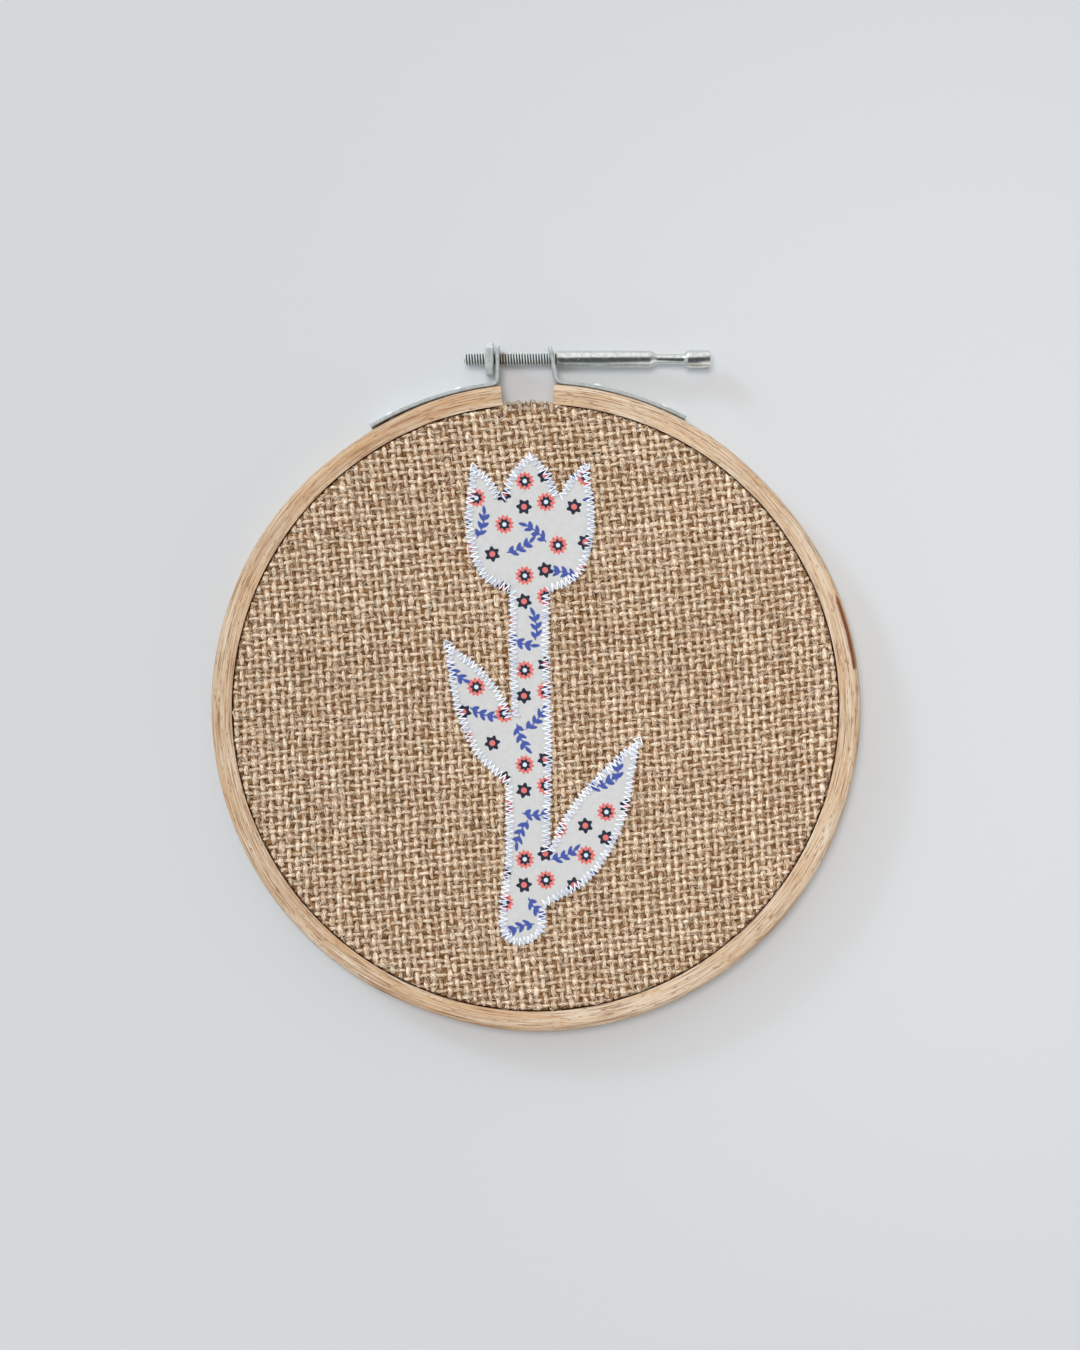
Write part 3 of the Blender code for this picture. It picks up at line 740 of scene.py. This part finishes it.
def inkDistances(x, y):
    # each motif is a curve of radius against angle, or a spray of leaf ellipses; the nearest motif counts
    inks = {key: np.full(x.shape, 1.0) for key in ("coral", "navy", "dot", "heart", "blue")}
    for middleX, middleY, turn in motifPlaces(coralFlowers):
        radius = np.hypot(x - middleX, y - middleY)
        angle = np.arctan2(y - middleY, x - middleX) + turn
        petals = 2.12 + 0.36 * np.sin(12 * angle)
        teeth = 1.3 + 0.3 * np.sin(7 * angle)
        inks["coral"] = np.minimum(inks["coral"], radius - petals)
        inks["navy"] = np.minimum(inks["navy"], radius - teeth)
        inks["dot"] = np.minimum(inks["dot"], radius - 0.55)
    for middleX, middleY, turn in motifPlaces(navyStars):
        radius = np.hypot(x - middleX, y - middleY)
        angle = (np.arctan2(y - middleY, x - middleX) + turn) * 6 / (2 * np.pi)
        tips = np.abs((angle % 1) - 0.5) * 2
        inks["navy"] = np.minimum(inks["navy"], (radius - 1.22 - 0.9 * tips) * 0.8)
        inks["heart"] = np.minimum(inks["heart"], radius - 0.74)
    for middleX, middleY, turn in motifPlaces(blueSprigs):
        near = np.hypot(x - middleX, y - middleY) < 6.5
        along = (x[near] - middleX) * math.cos(turn) + (y[near] - middleY) * math.sin(turn)
        side = (y[near] - middleY) * math.cos(turn) - (x[near] - middleX) * math.sin(turn)
        side = side - 0.045 * along ** 2
        spray = np.maximum(np.abs(side) - 0.19, np.abs(along + 0.2) - 3.4)
        leaves = [(-2.8, 1), (-2.5, -1), (-0.8, 1), (-0.5, -1), (1.2, 1), (1.5, -1), (2.8, 0)]
        for leafAt, direction in leaves:
            tilt = direction * 0.74
            leafX, leafY = along - leafAt - 1.0 * math.cos(tilt), side - 1.0 * math.sin(tilt)
            length = leafX * math.cos(tilt) + leafY * math.sin(tilt)
            width = leafY * math.cos(tilt) - leafX * math.sin(tilt)
            fat = 0.50 - 0.1 * length
            leaf = np.hypot(length / 1.08, width / fat) - 1
            spray = np.minimum(spray, leaf * 0.4)
        inks["blue"][near] = np.minimum(inks["blue"][near], spray)
    return inks


def makeCotton():
    # a square grid over the flower; points near the outline are drawn onto it and those outside are left out
    cell = cotton["cell"]
    low = flowerOutline.min(axis=0) - cell
    high = flowerOutline.max(axis=0) + cell
    x, y = np.meshgrid(np.arange(low[0], high[0], cell), np.arange(low[1], high[1], cell))
    edge, nearX, nearY = distanceToOutline(x, y, flowerOutline)
    onEdge = np.abs(edge) < 0.55 * cell
    x, y = np.where(onEdge, nearX, x), np.where(onEdge, nearY, y)
    used = onEdge | (edge < 0)
    rows, columns = x.shape
    quads = gridFaces(rows, columns, closeColumns=False)[:, ::-1]
    quads = quads[used.ravel()[quads].all(axis=1)]
    middle = np.minimum(edge.ravel()[quads].mean(axis=1), 0) < -0.1 * cell
    quads = quads[middle]
    depth = softStep(-edge / 3.0)
    ripple = np.sin(x * 1.9 + 0.7 * np.sin(y * 0.9)) * np.sin(y * 1.5 + 0.8 * np.sin(x * 0.7))
    height = flowerLow[2] + cotton["thickness"] / 2 + cotton["puff"] * depth + 0.05 * ripple * depth
    inks = inkDistances(x.ravel(), y.ravel())
    points = np.stack([x, y, height], axis=-1).reshape(-1, 3)
    piece = makePiece("flowerCotton", points, [quads], printedCotton(), inks)
    skin = piece.modifiers.new("Thickness", "SOLIDIFY")
    skin.thickness = cotton["thickness"] * millimetre
    skin.offset = 0.0
    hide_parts("flower_applique")
    return piece, (high - low) * millimetre


zigzag = {
    "cycle": 1.22, "outside": 0.42, "inside": 1.75, "threadRadius": 0.165, "seed": 3,
    "reach": 0.7,  # the outline's direction is taken over this much on each side
    "colour": "#FAFBFF", "shade": "#BFC6DA",
}


def shinyThread():
    # Trilobal polyester machine thread, bluish white: bright glints along each stitch
    material, tree, shader = newMaterial("shinyThread", {
        "Roughness": 0.38, "Coat Weight": 0.25, "Coat Roughness": 0.3, "Sheen Weight": 0.2})
    ply = noise(tree, attribute(tree, "fibre", "Vector"), 3.0, 1.0)
    mixed = combine(tree, "ADD", ply, attribute(tree, "tone"))
    colour = ramp(tree, mixed, (0.3, zigzag["shade"]), (0.62, zigzag["colour"]))
    tree.links.new(colour, shader.inputs["Base Color"])
    addBump(tree, shader, ply, 0.4, 0.00005)
    return material


def makeZigzag():
    # needle holes step along the outline, by turns just outside the cotton and well inside it
    random = np.random.default_rng(zigzag["seed"])
    curve = bezierOutline(flowerKnots, 24)
    runs = np.linalg.norm(np.roll(curve, -1, axis=0) - curve, axis=1)
    travelled = np.concatenate([[0], np.cumsum(runs)])
    holes = int(travelled[-1] / zigzag["cycle"]) * 2
    at = (np.arange(holes) + random.normal(0, 0.12, holes)) * travelled[-1] / holes
    closed = np.concatenate([curve, curve[:1]])
    behind, place, ahead = (
        np.stack([np.interp((at + step) % travelled[-1], travelled, closed[:, i]) for i in (0, 1)], axis=-1)
        for step in (-zigzag["reach"], 0.0, zigzag["reach"]))
    along = (ahead - behind) / np.linalg.norm(ahead - behind, axis=1, keepdims=True)
    outwards = np.stack([along[:, 1], -along[:, 0]], axis=-1)
    isOuter = np.arange(holes) % 2 == 0
    shift = np.where(isOuter, zigzag["outside"], -zigzag["inside"]) + random.normal(0, 0.15, holes)
    hole = place + outwards * shift[:, None]
    start, end = hole, np.roll(hole, -1, axis=0)
    startOuter = isOuter[:, None]
    share = np.linspace(0, 1, 7)[None, :]
    fromOuter = np.where(startOuter, share, 1 - share)
    surface = flowerLow[2] + cotton["thickness"] + 0.55 * cotton["puff"] * softStep(fromOuter * 1.5)
    lowOuter, lowInner = clothHigh[2] - 0.2 - surface, -0.22
    dip = lowOuter * (1 - softStep(fromOuter / 0.16)) + lowInner * softStep((fromOuter - 0.86) / 0.14)
    height = surface + 0.2 + dip + 0.1 * np.sin(np.pi * share)
    flat = start[:, None] * (1 - share[..., None]) + end[:, None] * share[..., None]
    paths = np.concatenate([flat, height[..., None]], axis=-1)
    radius = zigzag["threadRadius"] * np.ones(paths.shape[:2])
    solid = sweepTubes(paths, radius, radius, 5)
    fibre = fibreCoordinates(paths, 5, 0.6)
    tone = np.repeat(random.normal(0, 0.12, holes), 7 * 5)
    return makePiece("zigzagStitches", solid.reshape(-1, 3), tubeFaces(np.ones(paths.shape[:2], bool), 5),
                     shinyThread(), {"fibre": fibre.reshape(-1, 3), "tone": tone})


flowerCotton, flowerFlat = makeCotton()
zigzagStitches = makeZigzag()
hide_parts("flower_applique")
print("flower sewn on")


# Clamp

steelFinish = {
    # the near black is for painted shade along edges and in hollows
    "bright": "#E6E8E4", "dull": "#D0D4D0", "rust": "#84694A", "paintedShade": "#2C2B28",
    # roughness and metallic of each finish
    "turned": (0.24, 0.95), "threaded": (0.42, 0.22), "stamped": (0.46, 0.72), "headed": (0.28, 0.2),
    "paintedShadeRoughness": 0.9,
}


def zincPlate(name, finish):
    # Mild steel with a thin clear zinc plating: grey, faintly clouded, with a little rust, and painted shade
    # on edges and in hollows; bright where it was turned, satin where it was stamped, and paler with bloom on
    # the hammered rivet heads
    roughness, metallic = steelFinish[finish]
    material, tree, shader = newMaterial(name, {})
    cloud = noise(tree, objectPlace(tree), 900.0, 3.0, 0.6)
    colour = ramp(tree, cloud, (0.35, steelFinish["dull"]), (0.6, steelFinish["bright"]))
    patch = combine(tree, "MULTIPLY", attribute(tree, "rust"), cloud)
    colour = blend(tree, rescale(tree, patch, 0.3, 0.5, (0.0, 0.8)), colour, steelFinish["rust"])
    # painted shade: darker, rougher and not metallic where the attribute says
    paintedShade = attribute(tree, "paintedShade")
    colour = blend(tree, paintedShade, colour, steelFinish["paintedShade"])
    tree.links.new(colour, shader.inputs["Base Color"])
    rough = rescale(tree, cloud, 0.0, 1.0, (roughness - 0.03, roughness + 0.05))
    rough = addNode(tree, "Mix", {0: paintedShade, 2: rough, 3: steelFinish["paintedShadeRoughness"]})
    tree.links.new(rough.outputs[0], shader.inputs["Roughness"])
    tree.links.new(rescale(tree, paintedShade, 0.0, 1.0, (metallic, 0.0)), shader.inputs["Metallic"])
    addBump(tree, shader, cloud, 0.015, 0.00005)
    return material


clamp = {
    "stripThickness": 0.9, "stripWidth": 7.6, "edgeRounding": 0.2, "bendLength": 1.5,
    "left": {"end": -30.4, "bend": -6.75, "earTop": (-9.5, 90.8)},
    "right": {"end": 27.4, "bend": 3.75, "earTop": (3.6, 90.5)},
    "rivets": {"rivet_left_1": -13.6, "rivet_left_2": -26.4, "rivet_right_1": 10.9, "rivet_right_2": 23.5},
    "rivetHead": 1.4, "rivetShank": 0.7, "rivetDome": 0.85, "rivetDepth": 3.0, "earHole": 1.9,
}
middleHeight = woodHigh[2] / 2
screwY = (screwLow[1] + screwHigh[1]) / 2 - hoopMiddle[1]
stripRadius = woodHigh[0] + fitGap + clamp["stripThickness"] / 2


def frameAcross(axis):
    # two directions that make a right-handed set with the axis
    axis = np.array(axis, float) / np.linalg.norm(axis)
    helper = np.array([0.0, 0.0, 1.0]) if abs(axis[2]) < 0.9 else np.array([1.0, 0.0, 0.0])
    first = np.cross(helper, axis)
    first /= np.linalg.norm(first)
    return axis, first, np.cross(axis, first)


def turnedSurface(radius, height, origin, axis, columns):
    # radius (rows, or rows by columns) against height along the axis, turned about it; both ends capped
    axis, first, second = frameAcross(axis)
    turn = np.arange(columns) / columns * 2 * np.pi
    if np.ndim(radius) == 1:
        radius = np.array(radius)[:, None]
    radius = np.broadcast_to(radius, (len(height), columns))
    points = (np.array(origin) + np.array(height)[:, None, None] * axis
              + (radius * np.cos(turn))[..., None] * first + (radius * np.sin(turn))[..., None] * second)
    rows = len(height)
    return points.reshape(-1, 3), [gridFaces(rows, columns), endCaps(rows, columns)]


def cutAway(piece, cutterPoints, cutterFaces):
    # takes a cutter's shape out of a piece, for good
    cutter = makePiece("cutter", cutterPoints, cutterFaces, piece.data.materials[0])
    boolean = piece.modifiers.new("Cut", "BOOLEAN")
    boolean.operation = "DIFFERENCE"
    boolean.solver = "EXACT"
    boolean.object = cutter
    bpy.context.view_layer.update()
    evaluated = piece.evaluated_get(bpy.context.evaluated_depsgraph_get())
    mesh = bpy.data.meshes.new_from_object(evaluated)
    piece.modifiers.clear()
    piece.data = mesh
    mesh.set_sharp_from_angle(angle=math.radians(40))
    bpy.data.objects.remove(cutter, do_unlink=True)


def makeBracket(name, node, side, steel):
    # a rounded strip section carried round the hoop, through a bend, and up the ear
    part = clamp[side]
    sign = math.copysign(1, part["bend"])
    bendStart = part["bend"] + sign * math.degrees(clamp["bendLength"] / stripRadius)
    arc = ringPoints(stripRadius, np.radians(np.linspace(part["end"], bendStart, 60)), 0.0)[:, :2]
    corner = ringPoints(stripRadius, math.radians(part["bend"]), 0.0)[:2]
    top = np.array(part["earTop"])
    upwards = (top - corner) / np.linalg.norm(top - corner)
    bendEnd = corner + upwards * clamp["bendLength"]
    t = np.linspace(0, 1, 10)[1:, None]
    bend = arc[-1] * (1 - t) ** 2 + 2 * corner * t * (1 - t) + bendEnd * t ** 2
    ear = bendEnd + (top - bendEnd) * np.linspace(0, 1, 12)[1:, None]
    line = np.concatenate([arc, bend, ear])
    along = np.gradient(line, axis=0)
    along /= np.linalg.norm(along, axis=1, keepdims=True)
    across = np.stack([-along[:, 1], along[:, 0]], axis=-1)
    halfThick, halfWide = clamp["stripThickness"] / 2, clamp["stripWidth"] / 2
    section = roundedBox((-halfThick, -halfWide), (halfThick, halfWide), (clamp["edgeRounding"],) * 4, 3)
    flatTo = halfThick - clamp["edgeRounding"] - 0.06
    front = [(flatTo, halfWide), (-flatTo, halfWide)]
    section = np.insert(section, len(section) // 2, front, axis=0)
    endDistance = np.minimum(np.linalg.norm(line - line[0], axis=1), np.linalg.norm(line - line[-1], axis=1))
    narrow = 0.8 * (1 - np.sqrt(np.clip(1 - (1 - np.minimum(endDistance / 0.8, 1)) ** 2, 0, 1)))
    points = np.zeros((len(line), len(section), 3))
    points[..., :2] = line[:, None] + across[:, None] * section[None, :, :1]
    points[..., 2] = middleHeight + section[None, :, 1] * (1 - narrow / halfWide)[:, None]
    rows, columns = points.shape[:2]
    # painted shade: dark lines along the two front corners, for the shadow at the strip's edges
    shadedEdges = (section[:, 1] > halfWide - clamp["edgeRounding"] - 0.01) & (np.abs(section[:, 0]) > flatTo + 0.01)
    paintedShade = np.broadcast_to(0.4 * shadedEdges, (rows, columns))
    bracket = makePiece(name, points.reshape(-1, 3), [gridFaces(rows, columns), endCaps(rows, columns)],
                        steel, {"paintedShade": paintedShade.ravel()}, 40)
    share = (screwY - corner[1]) / (top[1] - corner[1])
    holeX = corner[0] + (top[0] - corner[0]) * share
    hole = (holeX, screwY, middleHeight)
    cutAway(bracket, *turnedSurface([clamp["earHole"]] * 2, [-2, 2], hole, (1, 0, 0), 40))
    for rivet, degrees in clamp["rivets"].items():
        if side in rivet:
            outwards = ringPoints(1.0, math.radians(degrees), 0.0)
            foot = outwards * stripRadius + (0, 0, middleHeight)
            cutAway(bracket, *turnedSurface([clamp["rivetShank"] + fitGap] * 2, [-1, 1], foot, outwards, 24))
    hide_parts(node)


def makeRivets(steel):
    # a shank, then a domed head: radius against height, from inside the wood outwards
    seat = stripRadius + clamp["stripThickness"] / 2 + 0.02
    turn = np.radians(np.linspace(0, 86, 9))
    head, dome, shank = clamp["rivetHead"], clamp["rivetDome"], clamp["rivetShank"]
    radius = np.concatenate([[shank, shank, head - 0.12, head], head * np.cos(turn[1:])])
    height = np.concatenate([[woodHigh[0] - clamp["rivetDepth"] - seat, 0, 0, 0.1],
                             0.1 + (dome - 0.1) * np.sin(turn[1:])])
    for node, degrees in clamp["rivets"].items():
        outwards = ringPoints(1.0, math.radians(degrees), 0.0)
        points, faces = turnedSurface(radius, height, outwards * seat + (0, 0, middleHeight), outwards, 32)
        side, number = node.split("_")[1:]
        piece = makePiece("rivet" + side.capitalize() + number, points, faces, steel,
                          sharpAngle=50)
        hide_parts(node)


screw = {
    "threadFrom": screwLow[0], "threadTo": 5.6, "pitch": 0.7, "crest": 1.7, "root": 1.2,
    "shankFrom": 5.3, "shankTo": 28.9, "shank": 2.1, "waistFrom": 30.4, "waistTo": 37.3, "waist": 1.2,
    "headFrom": 38.2, "headTo": screwHigh[0], "head": 2.2, "edge": 0.22,
    "slotWidth": 0.8, "slotDepth": 1.2, "rustFrom": -9.3, "rustTo": -6.9,
}


def makeThread(steel):
    # radius rises and falls along a helix, one turn a pitch, with painted shade in its root
    columns = 40
    length = screw["threadTo"] - screw["threadFrom"]
    threadX = np.linspace(screw["threadFrom"], screw["threadTo"], int(length / screw["pitch"] * 10))
    turn = np.arange(columns) / columns
    phase = ((threadX[:, None] / screw["pitch"] - turn[None, :]) % 1)
    ridge = np.clip((1 - np.abs(2 * phase - 1) - 0.26) / 0.56, 0, 1)
    threadRadius = screw["root"] + (screw["crest"] - screw["root"]) * ridge
    threadRadius = threadRadius - 0.35 * (1 - softStep((threadX - screw["threadFrom"]) / 0.7))[:, None]
    points, faces = turnedSurface(threadRadius, threadX, (0, screwY, middleHeight), (1, 0, 0), columns)
    x = points[:, 0]
    rust = softStep((x - screw["rustFrom"]) / 0.8) * softStep((screw["rustTo"] - x) / 0.8)
    # painted shade: the root between ridges is near black, matt and not metallic
    paintedShade = 0.97 * softStep((1 - ridge.ravel()) * 1.5 - 0.3)
    thread = makePiece("clampScrewThread", points, faces, steel,
                       {"rust": rust, "paintedShade": paintedShade}, 40)
    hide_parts("clamp_screw")


def makeScrew(steel):
    # shank, waist and slotted head in one profile
    columns, edge = 40, screw["edge"]
    rest = np.array([
        # x, radius
        (screw["shankFrom"] - 0.05, screw["root"]),
        (screw["shankFrom"], screw["shank"] - edge),
        (screw["shankFrom"] + edge * 0.3, screw["shank"] - edge * 0.3),
        (screw["shankFrom"] + edge, screw["shank"]),
        (screw["shankTo"] - 0.3, screw["shank"]),
        (screw["shankTo"] + 0.1, screw["shank"] - 0.06),
        (screw["waistFrom"] - 0.2, screw["waist"] + 0.12),
        (screw["waistFrom"] + 0.3, screw["waist"]),
        (screw["waistTo"] - 0.2, screw["waist"]),
        (screw["waistTo"] + 0.15, screw["waist"] + 0.1),
        (screw["headFrom"] - 0.15, screw["head"] - 0.12),
        (screw["headFrom"] + 0.15, screw["head"]),
        (screw["headTo"] - edge, screw["head"]),
        (screw["headTo"] - edge * 0.3, screw["head"] - edge * 0.3),
        (screw["headTo"], screw["head"] - edge),
    ])
    points, faces = turnedSurface(rest[:, 1], rest[:, 0], (0, screwY, middleHeight), (1, 0, 0), columns)
    piece = makePiece("clampScrew", points, faces, steel, sharpAngle=40)
    halfSlot, reach = screw["slotWidth"] / 2, screw["head"] + 1
    slotSection = roundedBox((-halfSlot, -reach), (halfSlot, reach), (0.02,) * 4, 1)
    slotX = np.array([screw["headTo"] - screw["slotDepth"], screw["headTo"] + 1])
    slot = np.zeros((2, len(slotSection), 3))
    slot[..., 0] = slotX[:, None]
    slot[..., 1] = screwY - slotSection[None, :, 1]
    slot[..., 2] = middleHeight + slotSection[None, :, 0]
    cutAway(piece, slot.reshape(-1, 3), [gridFaces(2, len(slotSection)), endCaps(2, len(slotSection))])
    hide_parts("clamp_screw")


def makeNut(steel):
    # a square plate with clipped corners, its rows closed through the hole
    half = (nutHigh[1] - nutLow[1]) / 2
    near = half - 1.5
    corners = np.array([(half, -near), (half, near), (near, half), (-near, half),
                        (-half, near), (-half, -near), (-near, -half), (near, -half)])
    share = np.linspace(0, 1, 8, endpoint=False)[None, :, None]
    outline = (corners[:, None] * (1 - share) + np.roll(corners, -1, axis=0)[:, None] * share).reshape(-1, 2)
    hole = outline / np.linalg.norm(outline, axis=1, keepdims=True) * clamp["earHole"]
    left, right, bevel = nutLow[0], nutHigh[0], 0.22
    rows = [(left, outline * (1 - bevel / half)), (left + bevel, outline), (right - bevel, outline),
            (right, outline * (1 - bevel / half)), (right, hole), (left, hole)]
    points = np.zeros((len(rows), len(outline), 3))
    for i, (x, ring) in enumerate(rows):
        points[i, :, 0] = x
        points[i, :, 1] = screwY + ring[:, 0]
        points[i, :, 2] = middleHeight + ring[:, 1]
    # painted shade on the bevels and, darker, in the hole
    paintedShade = np.broadcast_to(np.array([0.45, 0.0, 0.0, 0.45, 0.6, 0.6])[:, None], points.shape[:2])
    nut = makePiece("clampNut", points.reshape(-1, 3), [gridFaces(len(rows), len(outline), closeRows=True)],
                    steel, {"paintedShade": paintedShade.ravel()}, 30)
    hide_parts("clamp_nut")


turnedSteel = zincPlate("zincPlateTurned", "turned")
stampedSteel = zincPlate("zincPlateStamped", "stamped")
makeBracket("bracketLeft", "bracket_left", "left", stampedSteel)
makeBracket("bracketRight", "bracket_right", "right", stampedSteel)
makeRivets(zincPlate("zincPlateHeaded", "headed"))
makeThread(zincPlate("zincPlateThreaded", "threaded"))
makeScrew(turnedSteel)
makeNut(stampedSteel)
print("clamp made")


# Floor, light and camera

studio = {
    "floor": "#C1C1C1", "floorSize": 6.0,  # metres
    "overhead": "#8C8D8F", "walls": "#C6C8CA", "window": "#FFFFFF", "windowFrom": (-0.30, 0.88, 0.36),
    "room": 1.0, "person": "#2C2D2F", "personAt": (0.0, -0.36, 0.93),  # whoever leans over with the camera
    "suns": (  # name, where from, strength, colour, spread in degrees, mirrored by metal
        ("skylight", (-0.70, 0.62, 0.40), 1.2, (0.52, 0.78, 1.0), 12, True),
        ("ceilingLight", (-0.10, 0.14, 1.0), 2.22, (1.0, 1.0, 1.0), 22, False),
        ("roomFill", (0.50, -0.76, 0.42), 0.36, (1.0, 1.0, 1.0), 60, True)),  # comes back from the room
    "poolAt": (120.0, 15.0), "poolHeight": 0.9, "pool": 4.0,  # a soft pool of light on the right
    "cameraDistance": 750.0, "pictureMiddle": (1.1, 8.2), "pictureHeight": 337.5,
}


def makeFloor():
    material = newMaterial("paleFloor", {"Roughness": 0.9, "Base Color": toLinear(studio["floor"])})[0]
    bpy.ops.mesh.primitive_plane_add(size=studio["floorSize"])
    floor = bpy.context.object
    floor.name = "floor"
    floor.data.materials.append(material)


def aimedLamp(name, kind, direction, energy, colour=(1.0, 1.0, 1.0)):
    # a lamp that shines from the direction given towards the middle
    lamp = bpy.data.lights.new(name, kind)
    lamp.energy = energy
    lamp.color = colour
    thing = bpy.data.objects.new(name, lamp)
    bpy.context.scene.collection.objects.link(thing)
    thing.rotation_mode = "QUATERNION"
    thing.rotation_quaternion = Vector(direction).to_track_quat("Z", "Y")
    return lamp, thing


def makeLights():
    # a room, darker overhead than at the walls, with a wide window above the picture; cool light falls
    # low from the upper left, and a soft ceiling light that metal doesn't mirror lifts the shadows
    world = bpy.data.worlds.new("paleRoom")
    bpy.context.scene.world = world
    world.use_nodes = True
    tree = world.node_tree
    view = addNode(tree, "TexCoord").outputs["Generated"]
    height = addNode(tree, "SeparateXYZ", {0: view}).outputs["Z"]
    low = rescale(tree, height, 0.80, 0.30, curve="SMOOTHSTEP")
    sky = blend(tree, low, toLinear(studio["overhead"]), studio["walls"])
    patches = (("windowFrom", "window", 0.50, 0.76), ("personAt", "person", 0.72, 0.84))
    for place, colour, edge, core in patches:
        towards = np.array(studio[place]) / np.linalg.norm(studio[place])
        facing = addNode(tree, "VectorMath", {0: view, 1: tuple(towards)}, operation="DOT_PRODUCT")
        near = rescale(tree, facing.outputs["Value"], edge, core, curve="SMOOTHSTEP")
        sky = blend(tree, near, sky, studio[colour])
    tree.links.new(sky, tree.nodes["Background"].inputs["Color"])
    tree.nodes["Background"].inputs["Strength"].default_value = studio["room"]
    for name, direction, energy, colour, spread, mirrored in studio["suns"]:
        lamp, thing = aimedLamp(name, "SUN", direction, energy, colour)
        lamp.angle = math.radians(spread)
        thing.visible_glossy = mirrored
    lamp, pool = aimedLamp("poolOfLight", "SPOT", (0, 0, 1), studio["pool"])
    lamp.spot_size = math.radians(27)
    lamp.spot_blend = 1.0
    lamp.shadow_soft_size = 0.05
    pool.location = (studio["poolAt"][0] * millimetre, studio["poolAt"][1] * millimetre, studio["poolHeight"])
    pool.visible_glossy = False


def makeCamera():
    # straight above the picture, its long side fitted to the picture's height at the wood's front
    camera = bpy.data.cameras.new("camera")
    camera.sensor_width = 36.0
    camera.lens = camera.sensor_width * studio["cameraDistance"] / studio["pictureHeight"]
    eye = bpy.data.objects.new("camera", camera)
    bpy.context.scene.collection.objects.link(eye)
    x, y = studio["pictureMiddle"]
    eye.location = (np.array([x, y, woodHigh[2] + studio["cameraDistance"]]) + hoopMiddle) * millimetre
    bpy.context.scene.camera = eye


makeFloor()
makeLights()
makeCamera()
bpy.context.scene.view_settings.view_transform = "Standard"
print("floor, light and camera set")
